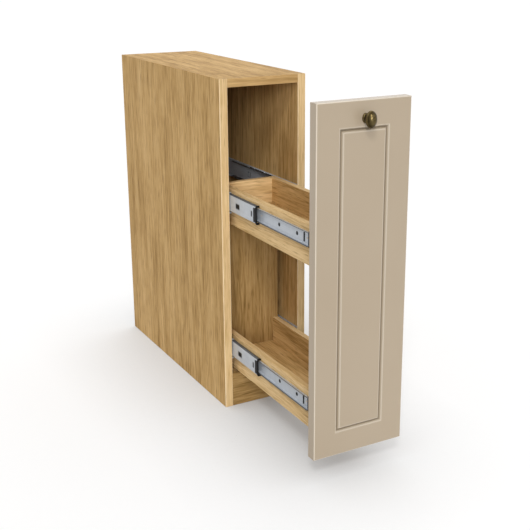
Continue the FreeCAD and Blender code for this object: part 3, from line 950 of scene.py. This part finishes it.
@dataclass
class Front:
    """Painted front with a rounded arris and a routed groove, and the soft pads on its rear."""

    arris: float = 2.0
    rear_arris: float = 0.6
    rear_bend: float = 0.3
    groove_margin: float = 51.0
    groove_width: float = 7.6
    groove_depth: float = 4.6
    groove_ease: float = 0.4
    groove_land: float = 2.0
    round_steps: int = 6
    # Share of the painted highlight on the groove's lips.
    thin_on_lips: float = 0.55
    pad_radius: float = 4.5
    pad_fullness: float = 0.6
    pad_crown: float = 0.96

    def profile(self) -> tuple[np.ndarray, np.ndarray]:
        """Section of the front from the rim of its rear face to the inner lip of its groove.

        The front arris gets a painted highlight by a half wave of sine, and the groove's lips get it by one
        share.

        Returns:
            Rows of (margin from the edge, depth behind the show face) in millimetres, and how much painted
            highlight each of them has.
        """
        low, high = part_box("front_panel")
        thickness = (high.y - low.y) / MM
        turn = np.linspace(0.0, RIGHT_ANGLE, self.round_steps + 1)
        round_over = np.stack([self.arris * (1 - np.cos(turn)), self.arris * (1 - np.sin(turn))], axis=1)
        half, root = self.groove_width / 2, self.groove_margin
        groove = rounded_line([
            (root - half - self.groove_land, 0.0, 0.0),
            (root - half, 0.0, self.groove_ease),
            (root, self.groove_depth, self.groove_ease),
            (root + half, 0.0, self.groove_ease),
            (root + half + self.groove_land, 0.0, 0.0),
        ])
        bend = self.rear_arris * self.rear_bend
        rear = np.array([[self.rear_arris, thickness], [bend, thickness - bend],
                         [0.0, thickness - self.rear_arris]])
        rows = np.concatenate([rear, round_over, groove])
        # Painted highlight on the front arris and on the groove's lips.
        worn = np.concatenate([np.zeros(len(rear)), np.sin(2 * turn), np.zeros(len(groove))])
        lip = np.abs(np.abs(rows[:, 0] - root) - half) < 2 * self.groove_ease
        return rows, np.maximum(worn, self.thin_on_lips * lip)

    def build(self) -> None:
        """Carry the section round the front, with mitred corners, paint it and add the pads.

        Ring i is the rectangle of the front's outline set in by margin_i, at depth_i behind the show face.
        Shade is painted in the groove by the square of the depth.
        """
        low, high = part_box("front_panel")
        profile, thin = self.profile()
        rows = profile * MM
        edge = np.where(CORNERS > 0, [high.x, high.z], [low.x, low.z])
        flat = edge[None] - CORNERS[None] * rows[:, None, :1]
        rings = np.empty((len(rows), 4, 3))
        rings[..., 0], rings[..., 2] = flat[..., 0], flat[..., 1]
        rings[..., 1] = low.y + rows[:, 1, None]
        piece = make_piece("front", carry(rings), [PAINT], Body.PULL_OUT, ["front_panel"], 50.0)
        # Painted highlight on the arris and the groove's lips.
        mark_points(piece.data, "thin", np.repeat(thin, 4))
        # Painted shade in the groove, by the square of the depth.
        sunk = np.where(profile[:, 0] > self.arris, profile[:, 1], 0.0) / self.groove_depth
        mark_points(piece.data, "painted_groove_shade", np.repeat(sunk * sunk, 4))
        self.pads()

    def pads(self) -> None:
        """Make the four pads: radius * (cos t)^fullness by height * sin t, turned about their axis."""
        low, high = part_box("front_bumpers")
        points = mesh_points(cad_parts["front_bumpers"].data)
        turn = np.linspace(0.0, RIGHT_ANGLE * self.pad_crown, 8)
        profile = np.stack([self.pad_radius * np.cos(turn) ** self.pad_fullness,
                            (high.y - low.y) / MM * np.sin(turn)], axis=1)
        from_middle = points[:, [0, 2]] - [0.0, points[:, 2].mean()]
        shells = []
        for corner in CORNERS[[2, 1, 3, 0]]:
            mine = points[(from_middle * corner > 0).all(axis=1)]
            middle = (mine.min(axis=0) + mine.max(axis=0)) / 2
            foot = (middle[0], low.y, middle[2])
            shells.append(carry(oval_rings(profile, foot, (0, 1, 0), (0, 0, 1), sides=24)))
        make_piece("pads", join(shells), [PAD], Body.PULL_OUT, ["front_bumpers"], 60.0)


@dataclass
class Knob:
    """Oval antique-brass knob on its rose."""

    length: float = 31.0
    width: float = 22.0
    projection: float = 29.0
    neck_length: float = 13.0
    rose_length: float = 18.0
    rose_thickness: float = 4.0
    sunk: float = 0.6
    pole: float = 0.4
    sides: int = 64
    rim_from: float = 0.86
    crown_from: float = 0.8
    crown_share: float = 0.8

    def build(self) -> None:
        """Turn the head with its neck, and the rose, from rows of (half length, reach, rounding)."""
        low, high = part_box("knob_rose")
        centre = ((low.x + high.x) / 2, high.y, (low.z + high.z) / 2)
        half, neck, foot = self.length / 2, self.neck_length / 2, self.rose_length / 2
        seat = self.rose_thickness
        head = rounded_line([
            (self.pole, seat - self.sunk, 0.0),
            (neck + 0.5, seat - self.sunk, 0.3),
            (neck, seat + 2.6, 2.2),
            (neck, 12.0, 2.5),
            (half * 0.86, 15.8, 2.0),
            (half, 17.2, 1.2),
            (half, 20.2, 1.6),
            (half * 0.8, 24.2, 4.0),
            (half * 0.42, 28.2, 4.2),
            (0.3, self.projection, 0.0),
        ], steps=8)
        rose = rounded_line([
            (self.pole, 0.05, 0.0),
            (foot, 0.05, 0.2),
            (foot, 2.2, 0.8),
            (foot - 1.8, seat, 1.0),
            (self.pole, seat, 0.0),
        ])
        for name, profile, node in (("knob_head", head, "knob"), ("knob_foot", rose, "knob_rose")):
            rings = oval_rings(profile, centre, (0, -1, 0), (0, 0, 1), self.width / self.length, self.sides)
            piece = make_piece(name, carry(rings), [BRASS], Body.PULL_OUT, [node], 40.0)
            mark_points(piece.data, "buff", np.repeat(self.buff(profile), self.sides))

    def buff(self, profile: np.ndarray) -> np.ndarray:
        """How much each ring was buffed: it rises evenly to the widest rim, and by a share to the crown.

        Args:
            profile: Rows of (radius, reach), one for each ring.

        Returns:
            One value a ring, from 0 to 1.
        """
        radius, reach = (profile / profile.max(axis=0)).T
        rim = np.clip((radius - self.rim_from) / (1 - self.rim_from), 0, 1)
        crown = np.clip((reach - self.crown_from) / (1 - self.crown_from), 0, 1)
        return np.maximum(rim, self.crown_share * crown)


# Half width of a screw's hole, and of a spare hole that no screw fills.
SCREW_HALF = 4.05
SPARE_HALF = 1.75

# Cells along and across the square of web that makes way for an opening.
PATCH_CELLS = 8


@dataclass(frozen=True)
class Hole:
    """Opening in a rail's web: its middle, its half sizes, how square it is, and half its square's length.

    The reach is from the rail's front end, or from its rear end where it is negative.
    """

    reach: float
    half_along: float
    half_across: float
    power: float = 2.0
    patch: float = 6.0

    def middle(self, run: tuple[float, float]) -> float:
        """Its middle on a rail that runs from one place to another."""
        return self.reach + run[0 if self.reach >= 0 else 1]


@dataclass
class Member:
    """One rail of a runner: the middle line of its strip, the openings in its web, and its grease with
    painted shade.
    """

    node: str
    body: Body
    start_u: float
    moves: tuple[tuple[float, float], ...]
    holes: tuple[Hole, ...]
    patch_half: float
    # Shares of dark grease and painted shade in the races and round the openings.
    race_shade_and_grease: float = 1.0
    hole_shade_and_grease: float = 0.0


@dataclass(frozen=True)
class Section:
    """Bend of the ball races, and where the balls of the outer and the inner race lie."""

    bend: float
    outer_u: float
    outer_w: float
    inner_u: float
    inner_w: float


@dataclass
class Runners:
    """Four telescopic ball-bearing runners of bent steel strip, with their balls, stops and buffers.

    u runs from the carcass side to the tray, and w up from the runner's middle, in millimetres.
    """

    inner_face: float = 82.0
    space: float = 12.7
    height: float = 45.5
    steel: float = 1.0
    ball: float = 4.4
    balls_in_node: int = 32
    ball_pole: float = 0.97
    play: float = 0.15
    cradle: float = 50.0
    outer_hook: float = 150.0
    inner_hook: float = 95.0
    flange_bend: float = 1.5
    web_u: float = 2.5
    arc_step: float = 10.0
    patch_half: float = 7.0
    drawer_patch_half: float = 10.4
    stop_nose: float = 3.0
    stop_grip: float = 8.0
    stop_skin: float = 0.5
    stop_play: float = 0.4
    stop_ease: float = 0.4
    lip_ease: float = 0.2
    buffer_nose: float = 2.5
    buffer_tongue: float = 4.0
    buffer_stand: float = 2.0
    buffer_lip: float = 1.2
    nose_ease: float = 0.6
    tongue_ease: float = 0.35
    sunk: float = 1.0
    catch_reach: float = 21.0
    catch_width: float = 4.0
    catch_margin: float = 4.0
    catch_stand: float = 1.0
    catch_ease: float = 0.45
    cabinet_holes: tuple[Hole, ...] = (
        Hole(56.25, SCREW_HALF, SCREW_HALF),
        Hole(225.0, SPARE_HALF, SPARE_HALF),
        Hole(393.75, SCREW_HALF, SCREW_HALF),
    )
    intermediate_holes: tuple[Hole, ...] = (
        Hole(16.0, 2.0, 5.0, 6.0, 4.0),
        Hole(78.0, 8.0, 4.8, 5.0, 9.5),
        Hole(-80.0, 5.5, 5.5, 10.0, 7.5),
    )
    drawer_holes: tuple[Hole, ...] = (
        Hole(10.0, 2.0, 2.0, 2.0, 4.0),
        Hole(21.0, 2.05, 8.95, 12.0, 4.5),
        Hole(48.0, SCREW_HALF, SCREW_HALF),
        Hole(117.0, SCREW_HALF, SCREW_HALF),
        Hole(189.0, SPARE_HALF, SPARE_HALF),
        Hole(326.0, SCREW_HALF, SCREW_HALF),
    )

    def section(self) -> Section:
        """Work out the races from the strip's and the balls' sizes.

        Returns:
            The section's sizes in millimetres.
        """
        bend = self.ball / 2 + self.play + self.steel / 2
        outer_u = self.steel / 2 + bend
        outer_w = self.height / 2 - bend - self.steel / 2
        lean = math.radians(self.cradle)
        return Section(bend, outer_u, outer_w, outer_u + 2 * bend * math.sin(lean),
                       outer_w - 2 * bend * math.cos(lean))

    def midline(self, member: Member) -> tuple[np.ndarray, np.ndarray, np.ndarray]:
        """Middle line of a strip from its lower tip to its upper tip, its normals and its ball races.

        From the runner's middle the line heads up. A straight move (length, 0) adds its length along the
        heading; a turn (radius, degrees to the left) adds the arc centre + radius * (cos, sin). The half
        below is the mirror image. The first straight is cut into the cells that the openings need.

        Args:
            member: The rail.

        Returns:
            Points (u, w), unit normals (u, w) to the left of the heading, and one for each point in a race,
            else zero.
        """
        bend = self.section().bend
        rise = np.linspace(0.0, member.patch_half, PATCH_CELLS // 2 + 1)
        points = [np.stack([np.full(len(rise), member.start_u), rise], axis=1)]
        normals = [np.tile([-1.0, 0.0], (len(rise), 1))]
        races = [np.zeros(len(rise))]
        here, heading = np.array([member.start_u, 0.0]), RIGHT_ANGLE
        for size, turn in member.moves:
            left = np.array([-math.sin(heading), math.cos(heading)])
            if turn:
                reach = size * math.copysign(1.0, turn)
                centre = here + left * reach
                count = max(2, math.ceil(abs(turn) / self.arc_step))
                headings = heading + np.linspace(0.0, math.radians(turn), count + 1)[1:]
                lefts = np.stack([-np.sin(headings), np.cos(headings)], axis=1)
                points.append(centre - lefts * reach)
                normals.append(lefts)
                heading = float(headings[-1])
            else:
                points.append((here + size * np.array([math.cos(heading), math.sin(heading)]))[None])
                normals.append(left[None])
            here = points[-1][-1]
            in_race = bool(turn) and math.isclose(size, bend)
            races.append(np.full(len(points[-1]), float(in_race)))
        line, normal, race = np.concatenate(points), np.concatenate(normals), np.concatenate(races)
        flip = np.array([1.0, -1.0])
        return (np.concatenate([line[:0:-1] * flip, line]), np.concatenate([normal[:0:-1] * flip, normal]),
                np.concatenate([race[:0:-1], race]))

    def strip(self, member: Member, hand: Hand, height: float) -> tuple[Shell, np.ndarray]:
        """Strip of steel along the run, with its openings and its thickness.

        Point (i, j) of the middle surface is the middle line's point i at station j. Round each opening a
        square of cells makes way for a ring of faces, from the square's rim to |a|^p + |b|^p = 1 scaled to
        the opening. Both faces of the strip lie half its thickness along the normals, and walls join them
        round every free edge.

        Args:
            member: The rail.
            hand: Side of the cabinet.
            height: Runner's middle above the floor, in millimetres.

        Returns:
            The closed shell, and how much dark grease and painted shade each of its points has.
        """
        low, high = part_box(member.node)
        run = (low.y / MM, high.y / MM)
        line, normal, race = self.midline(member)
        cuts = [np.linspace(hole.middle(run) - hole.patch, hole.middle(run) + hole.patch, PATCH_CELLS + 1)
                for hole in member.holes]
        stations = np.unique(np.round(np.concatenate([np.array(run), *cuts]), 6))
        rows, columns = len(line), len(stations)
        index = np.arange(rows * columns).reshape(rows, columns)
        quads = grid_faces(index)
        keep = np.ones(quads.shape[:2], bool)
        flat = np.concatenate([np.repeat(line, columns, axis=0), np.tile(stations, rows)[:, None]], axis=1)
        facing = np.repeat(normal, columns, axis=0)
        bottom = rows // 2 - PATCH_CELLS // 2
        top = bottom + PATCH_CELLS
        rings = []
        for hole in member.holes:
            middle = hole.middle(run)
            first = int(np.argmin(np.abs(stations - (middle - hole.patch))))
            last = first + PATCH_CELLS
            keep[bottom:top, first:last] = False
            rim = grid_rim(index[bottom:top + 1, first:last + 1])
            a = (flat[rim, 2] - middle) / hole.patch
            b = flat[rim, 1] / member.patch_half
            scale = (np.abs(a) ** hole.power + np.abs(b) ** hole.power) ** (-1 / hole.power)
            inner = np.stack([np.full(len(rim), member.start_u), b * scale * hole.half_across,
                              middle + a * scale * hole.half_along], axis=1)
            inside = np.arange(len(rim)) + len(flat)
            rings.append(ring_faces(np.stack([rim, inside])))
            flat = np.concatenate([flat, inner])
            facing = np.concatenate([facing, np.tile([-1.0, 0.0], (len(rim), 1))])
        # Painted shade, partly grease, in the races and round the intermediate rail's openings.
        painted_shade_and_grease = np.full(len(flat), member.hole_shade_and_grease)
        painted_shade_and_grease[:rows * columns] = np.repeat(race, columns) * member.race_shade_and_grease
        shell = self.thickened(flat, facing, np.concatenate([quads[keep], *rings]), hand, height)
        return shell, np.tile(painted_shade_and_grease, 2)

    def thickened(self, flat: np.ndarray, facing: np.ndarray, faces: np.ndarray, hand: Hand,
                  height: float) -> Shell:
        """Give a middle surface the strip's thickness and put it in the cabinet.

        Args:
            flat: Points (u, w, y) in millimetres.
            facing: Unit normals (u, w).
            faces: Four point numbers a face.
            hand: Side of the cabinet.
            height: Runner's middle above the floor.

        Returns:
            The closed shell, in metres.
        """
        layers = []
        for side in (0.5, -0.5):
            u, w = (flat[:, :2] + facing * self.steel * side).T
            layers.append(np.stack([hand.value * (self.inner_face - u), flat[:, 2], height + w], axis=1))
        ends = np.stack([faces, np.roll(faces, -1, axis=1)], axis=-1).reshape(-1, 2)
        _, where, count = np.unique(np.sort(ends, axis=1), axis=0, return_inverse=True, return_counts=True)
        free = ends[count[where.ravel()] == 1]
        total = len(flat)
        walls = np.stack([free[:, 1], free[:, 0], free[:, 0] + total, free[:, 1] + total], axis=-1)
        every = np.concatenate([faces, faces[:, ::-1] + total, walls])
        return Shell(np.concatenate(layers) * MM, every.tolist())

    def members(self, side: str) -> list[Member]:
        """The three rails of one runner.

        Args:
            side: Start of the rails' names.

        Returns:
            Cabinet rail, intermediate rail and drawer rail.
        """
        size = self.section()
        knee = size.outer_u - self.web_u
        web = self.space - self.steel / 2
        cabinet_moves = ((size.outer_w, 0.0), (size.bend, -self.outer_hook))
        intermediate_moves = ((size.outer_w - size.bend - knee, 0.0), (knee, -90.0), (size.bend, self.cradle),
                              (size.bend, -self.inner_hook))
        drawer_moves = ((size.inner_w - size.bend - self.flange_bend, 0.0), (self.flange_bend, 90.0),
                        (web - self.flange_bend - size.inner_u, 0.0), (size.bend, -self.cradle))
        return [
            Member(side + "cabinet_rail", Body.CARCASS, self.steel / 2, cabinet_moves, self.cabinet_holes,
                   self.patch_half, race_shade_and_grease=0.0),
            Member(side + "intermediate_rail", Body.INTERMEDIATE, self.web_u, intermediate_moves,
                   self.intermediate_holes, self.patch_half, hole_shade_and_grease=1.0),
            Member(side + "drawer_rail", Body.PULL_OUT, web, drawer_moves, self.drawer_holes,
                   self.drawer_patch_half),
        ]

    def block(self, low: Sequence[float], high: Sequence[float], ease: float) -> Shell:
        """Eased block between two corners (u, y, w) in millimetres."""
        return eased_block(np.array(low) * MM, np.array(high) * MM, even_radii(ease))

    def end_stop(self, start: float) -> list[Shell]:
        """Moulded cap on the front end of an intermediate rail: a nose with two claws, and lips on the web.

        Args:
            start: Where the rail starts, in millimetres.

        Returns:
            The nose and its two lips, which are sunk in it, as (u, y, w) in metres.
        """
        size = self.section()
        outside, inside = self.web_u - self.steel / 2, self.web_u + self.steel / 2
        back, front = outside - self.stop_skin, inside + 3 * self.stop_skin
        half = size.outer_w - size.bend
        grip = half - 2 * self.steel
        tip = size.inner_u + size.bend
        top = size.inner_w + size.bend + self.steel / 2 + self.stop_skin
        foot = self.buffer_half() + self.stop_play
        upper = [(back, half, 0.4), (inside, half, 0.2), (inside, top, 0.6), (tip, top, 0.8),
                 (tip, foot, 0.6), (front, foot, 0.8)]
        lower = [(u, -w, reach) for u, w, reach in reversed(upper)]
        outline = rounded_line(upper + lower, steps=3)
        ends = (start - self.sunk, start + self.stop_grip)
        return [moulding(outline, (start - self.stop_nose, start), self.stop_ease),
                *(self.block((low, ends[0], -grip), (high, ends[1], grip), self.lip_ease)
                  for low, high in ((back, outside), (inside, front)))]

    def buffer_half(self) -> float:
        """Half height of a drawer rail's buffer: just over the tips of the rail's cradles."""
        race = self.ball / 2 + self.play
        return self.section().inner_w - race * math.cos(math.radians(self.cradle)) + self.buffer_lip

    def buffer(self, start: float) -> list[Shell]:
        """Moulded buffer on the front end of a drawer rail: an eased nose, and a tongue that lies on the web.

        Args:
            start: Where the rail starts, in millimetres.

        Returns:
            The nose and the tongue, which is sunk in it, as (u, y, w) in metres.
        """
        size = self.section()
        half, web = self.buffer_half(), self.space - self.steel
        tongue = size.inner_w - size.bend - self.flange_bend
        return [self.block((size.inner_u, start - self.buffer_nose, -half), (self.space, start, half),
                           self.nose_ease),
                self.block((web - self.buffer_stand, start - self.sunk, -tongue),
                           (web, start + self.buffer_tongue, tongue), self.tongue_ease)]

    def catch(self, start: float) -> list[Shell]:
        """Moulded release catch: an upright bar that fills its slot in the drawer rail's web.

        Args:
            start: Where the rail starts, in millimetres.

        Returns:
            The bar, as (u, y, w) in metres.
        """
        size = self.section()
        half = size.inner_w - size.bend - self.catch_margin
        middle = start + self.catch_reach
        low = (self.space - self.steel - self.catch_stand, middle - self.catch_width / 2, -half)
        return [self.block(low, (self.space, middle + self.catch_width / 2, half), self.catch_ease)]

    def fittings(self, side: str, hand: Hand, height: float) -> dict[str, list[Shell]]:
        """The black mouldings of one runner.

        Args:
            side: Start of the rails' names.
            hand: Side of the cabinet.
            height: Runner's middle above the floor, in millimetres.

        Returns:
            Shells in the cabinet's frame by the node that they stand for.
        """
        middle, drawer = (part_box(side + rail)[0].y / MM for rail in ("intermediate_rail", "drawer_rail"))
        shapes = {"intermediate_end_stops": self.end_stop(middle), "drawer_rail_buffers": self.buffer(drawer),
                  "drawer_rail_catches": self.catch(drawer)}
        for shell in sum(shapes.values(), []):
            u, y, w = shell.points.T
            shell.points = np.stack([hand.value * (self.inner_face * MM - u), y, height * MM + w], axis=1)
        return shapes

    def build(self) -> None:
        """Make the rails, the balls and the black mouldings, and dress the cages."""
        black: dict[str, list[Shell]] = {}
        for level in ("upper", "lower"):
            low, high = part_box(level + "_left_cabinet_rail")
            height = (low.z + high.z) / 2 / MM
            for hand in Hand:
                side = f"{level}_{hand.name.lower()}_"
                for member in self.members(side):
                    shell, painted_shade_and_grease = self.strip(member, hand, height)
                    rail = make_piece("steel_" + member.node, shell, [ZINC], member.body, [member.node], 35.0)
                    # Grease and painted shade for the finish to read.
                    mark_points(rail.data, "grease", painted_shade_and_grease)
                for node, shells in self.fittings(side, hand, height).items():
                    black.setdefault(node, []).extend(shells)
        for node, shells in black.items():
            body = Body.INTERMEDIATE if node.startswith("intermediate") else Body.PULL_OUT
            make_piece("moulded_" + node, join(shells), [PLASTIC], body, [node], 35.0)
        for name, body in (("outer", Body.OUTER_CAGES), ("inner", Body.INNER_CAGES)):
            balls = name + "_balls"
            make_piece("polished_" + balls, self.balls(balls), [BEARING], body, [balls], 80.0)
            dress_node(name + "_ball_cages", BLACK_ZINC)

    def balls(self, node: str) -> Shell:
        """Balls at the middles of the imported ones: radius * (cos t * spoke + sin t * axis).

        Args:
            node: Solid that holds the balls.

        Returns:
            One shell of all the balls.
        """
        points = mesh_points(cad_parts[node].data).reshape(self.balls_in_node, -1, 3)
        turn = np.linspace(-RIGHT_ANGLE * self.ball_pole, RIGHT_ANGLE * self.ball_pole, 11)
        profile = self.ball / 2 * np.stack([np.cos(turn), np.sin(turn)], axis=1)
        return join(carry(oval_rings(profile, middle, (0, 0, 1), (0, 1, 0), sides=16))
                    for middle in points.mean(axis=1))


@dataclass
class Screws:
    """One group of cross-recessed screws, each on the place of its solid.

    A countersunk head has a cone under it and lies flush; a pan head has a rim and stands on its seat. The
    arms of the recess, its slots, its wall and the outer line are shares of the head's radius.
    """

    node: str
    body: Body
    count: int
    head: float = 8.0
    shank: float = 4.0
    rim: float = 0.0
    rise: float = 0.1
    edge: float = 0.15
    cone: float = 2.0
    point: float = 3.0
    tip: float = 0.2
    recess: float = 0.85
    arm: float = 0.54
    wall: float = 0.2
    slot: float = 0.19
    outer_line: float = 0.78

    def shape(self, length: float) -> Shell:
        """One screw about its own axis: a head with its recess on a square grid, and rings down to the tip.

        Grid point (a, b) lies at x = a * sqrt(1 - b^2 / 2) and y = b * sqrt(1 - a^2 / 2), times the head's
        radius, so that the square's rim is a circle. Its height is rim + rise * (1 - x^2 - y^2), less the
        recess times two ramps: one falls across the wall of an arm, by the smaller of |x| and |y|, and one
        falls to the arm's tip, by the larger.

        Args:
            length: From the seat's plane to the tip, in millimetres.

        Returns:
            The closed shell as (across, up, outward) in millimetres.
        """
        half = np.array([0.0, self.slot / 2, self.slot, self.arm - self.wall, self.arm, self.outer_line, 1.0])
        lines = np.concatenate([-half[:0:-1], half])
        a, b = np.meshgrid(lines, lines, indexing="ij")
        x, y = a * np.sqrt(1 - b ** 2 / 2), b * np.sqrt(1 - a ** 2 / 2)
        near, far = np.minimum(np.abs(x), np.abs(y)), np.maximum(np.abs(x), np.abs(y))
        ramps = np.clip(2 - 2 * near / self.slot, 0, 1) * np.clip((self.arm - far) / self.wall, 0, 1)
        height = self.rim + self.rise * (1 - x ** 2 - y ** 2) - self.recess * ramps
        radius, core = self.head / 2, self.shank / 2
        top = np.stack([x * radius, y * radius, height], axis=-1)
        index = np.arange(a.size).reshape(a.shape)
        rim = grid_rim(index)
        spoke = np.stack([x.ravel()[rim], y.ravel()[rim]], axis=1)
        rings = np.array([(radius, -self.edge), (core, -self.edge - self.cone), (core, self.point - length),
                          (core / 4, self.tip - length)])
        lower = np.empty((len(rings), len(rim), 3))
        lower[..., :2] = rings[:, 0, None, None] * spoke
        lower[..., 2] = rings[:, 1, None]
        below = a.size + np.arange(lower[..., 0].size).reshape(len(rings), -1)
        walls = ring_faces(np.concatenate([rim[None], below]))
        faces = np.concatenate([grid_faces(index).reshape(-1, 4), walls])
        points = np.concatenate([top.reshape(-1, 3), lower.reshape(-1, 3)])
        return Shell(points, faces.tolist() + [below[-1].tolist()])

    def build(self) -> None:
        """Put one screw on each solid: its head is at the end where the solid is widest."""
        solids = mesh_points(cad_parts[self.node].data).reshape(self.count, -1, 3)
        stand = self.rim + self.rise if self.rim else 0.0
        up = np.array([0.0, 0.0, 1.0])
        shells = []
        for points in solids:
            low, high = points.min(axis=0), points.max(axis=0)
            middle = (low + high) / 2
            along = int(np.argmax(high - low))
            length = (high - low)[along]
            reach = np.linalg.norm(np.delete(points - middle, along, axis=1), axis=1)
            outward = np.zeros(3)
            outward[along] = 1.0 if points[reach.argmax(), along] > middle[along] else -1.0
            seat = middle + outward * (length / 2 - stand * MM)
            shape = self.shape(length / MM - stand)
            axes = np.stack([np.cross(up, outward), up, outward])
            shells.append(Shell(seat + shape.points @ axes * MM, shape.faces))
        make_piece("headed_" + self.node, join(shells), [BLACK_ZINC], self.body, [self.node], 35.0)


@dataclass(frozen=True)
class Lamp:
    """Broad far lamp: its direction from the cabinet, its share of a facing colour, its spread in degrees."""

    name: str
    towards: tuple[float, float, float]
    share: float
    spread: float

    def build(self) -> None:
        """Make the lamp; pi times the share lights a surface that faces it with that share of its colour."""
        data = bpy.data.lights.new(self.name, "SUN")
        data.energy = self.share * math.pi
        data.angle = math.radians(self.spread)
        lamp = bpy.data.objects.new(self.name, data)
        lamp.rotation_euler = Vector(self.towards).to_track_quat("Z", "Y").to_euler()
        bpy.context.scene.collection.objects.link(lamp)


@dataclass
class Studio:
    """Camera, pale floor and soft light."""

    azimuth: float = -29.567
    elevation: float = 16.588
    distance: float = 1977.001
    target: tuple[float, float, float] = (0.0, -126.172, 398.403)
    focal_pixels: float = 969.44
    image_pixels: float = 530.0
    sensor: float = 36.0
    shift: tuple[float, float] = (-0.05, -0.045)
    ambient: float = 0.31
    floor_seen: float = 1.0
    floor_unseen: float = 0.55
    contact_share: float = 0.5
    contact_reach: float = 0.3
    floor_size: float = 300.0
    floor_drop: float = 0.0002
    lamps: tuple[Lamp, ...] = (
        Lamp("key_light", (-0.4, -0.6, 0.69), 0.3, 11.0),
        Lamp("fill_light", (-0.43, -0.86, 0.27), 0.49, 25.0),
        Lamp("top_light", (0.0, -0.05, 1.0), 0.31, 120.0),
        Lamp("back_light", (0.6, 0.5, 0.62), 0.15, 60.0),
    )

    def build(self) -> None:
        """Set up the camera, the floor, the world and the lamps."""
        bpy.context.scene.view_settings.view_transform = "Standard"
        self.camera()
        self.floor()
        self.world()
        for lamp in self.lamps:
            lamp.build()

    def camera(self) -> None:
        """Camera fitted to the cabinet's corners, by azimuth, elevation and distance from its target."""
        turn, rise = math.radians(self.azimuth), math.radians(self.elevation)
        back = Vector((math.sin(turn) * math.cos(rise), -math.cos(turn) * math.cos(rise), math.sin(rise)))
        data = bpy.data.cameras.new("camera")
        data.sensor_width = self.sensor
        data.lens = self.focal_pixels / self.image_pixels * self.sensor
        data.shift_x, data.shift_y = self.shift
        view = bpy.data.objects.new("camera", data)
        view.location = (Vector(self.target) + back * self.distance) * MM
        view.rotation_euler = (-back).to_track_quat("-Z", "Y").to_euler()
        bpy.context.scene.collection.objects.link(view)
        bpy.context.scene.camera = view

    def seen_directly(self, tree: bpy.types.NodeTree) -> bpy.types.Node:
        """One for what the camera sees, straight or in a mirror or a glass, and zero for light on its way.

        Args:
            tree: Node tree that takes the nodes.

        Returns:
            The node with that value.
        """
        path = add_node(tree, "LightPath").outputs
        larger = {"operation": "MAXIMUM"}
        both = add_node(tree, "Math", {0: path["Is Camera Ray"], 1: path["Is Glossy Ray"]}, larger)
        return add_node(tree, "Math", {0: both, 1: path["Is Transmission Ray"]}, larger)

    def floor(self) -> None:
        """Plain pale floor that keeps the cabinet's soft shadow, and throws less light up than it shows.

        Where it is seen, a share of it glows white and darkens close to the cabinet: a painted contact
        shadow.
        """
        side = np.linspace(-self.floor_size / 2, self.floor_size / 2, 3)
        x, y = np.meshgrid(side, side, indexing="ij")
        points = np.stack([x, y, np.full_like(x, -self.floor_drop)], axis=-1).reshape(-1, 3)
        quads = grid_faces(np.arange(x.size).reshape(x.shape)).reshape(-1, 4)
        mesh = bpy.data.meshes.new("floor")
        mesh.from_pydata(points.tolist(), [], quads.tolist())
        floor = bpy.data.objects.new("floor", mesh)
        bpy.context.scene.collection.objects.link(floor)
        material = bpy.data.materials.new("studio_floor_matt_paper")
        material.use_nodes = True
        tree = material.node_tree
        paper = tree.nodes["Principled BSDF"]
        paper.inputs["Roughness"].default_value = 1.0
        paper.inputs["Specular IOR Level"].default_value = 0.0
        seen = self.seen_directly(tree)
        shade = add_node(tree, "MapRange", {"Value": seen, "To Min": self.floor_unseen,
                                            "To Max": self.floor_seen})
        tree.links.new(first_output(shade), paper.inputs["Base Color"])
        # Painted contact shadow: the glow falls off near the cabinet by ambient occlusion.
        near = add_node(tree, "AmbientOcclusion", {"Distance": self.contact_reach}).outputs["AO"]
        glow_with_painted_contact_shadow = add_node(tree, "Emission", {"Strength": near})
        share = add_node(tree, "Math", {0: seen, 1: self.contact_share}, {"operation": "MULTIPLY"})
        mixed = add_node(tree, "MixShader", {0: share, 1: paper, 2: glow_with_painted_contact_shadow})
        tree.links.new(first_output(mixed), tree.nodes["Material Output"].inputs["Surface"])
        mesh.materials.append(material)

    def world(self) -> None:
        """White where it is seen, and a soft even light elsewhere."""
        world = bpy.data.worlds.new("studio")
        bpy.context.scene.world = world
        world.use_nodes = True
        tree = world.node_tree
        background = tree.nodes["Background"].inputs
        seen = self.seen_directly(tree)
        strength = add_node(tree, "MapRange", {"Value": seen, "To Min": self.ambient, "To Max": 1.0})
        background["Color"].default_value = (1.0, 1.0, 1.0, 1.0)
        tree.links.new(first_output(strength), background["Strength"])


def main() -> None:
    """Build the cabinet in order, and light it."""
    logging.basicConfig(level=logging.INFO, format="%(name)s: %(message)s")
    Studio().build()
    Carcass().build()
    Tray("upper", 11, has_back=True).build()
    Tray("lower", 17, has_back=False).build()
    TieBoard().build()
    Front().build()
    Knob().build()
    Runners().build()
    Screws("cabinet_rail_screws", Body.CARCASS, 8).build()
    Screws("drawer_rail_screws", Body.PULL_OUT, 12, rise=0.3).build()
    Screws("front_screws", Body.PULL_OUT, 4, rise=0.9, recess=0.8).build()
    Screws("tie_screws", Body.PULL_OUT, 4, rise=0.9, recess=0.8).build()
    Screws("knob_bolt", Body.PULL_OUT, 1, head=9.0, rim=0.7, rise=0.9, cone=0.0, recess=1.3).build()


if __name__ == "__main__":
    main()
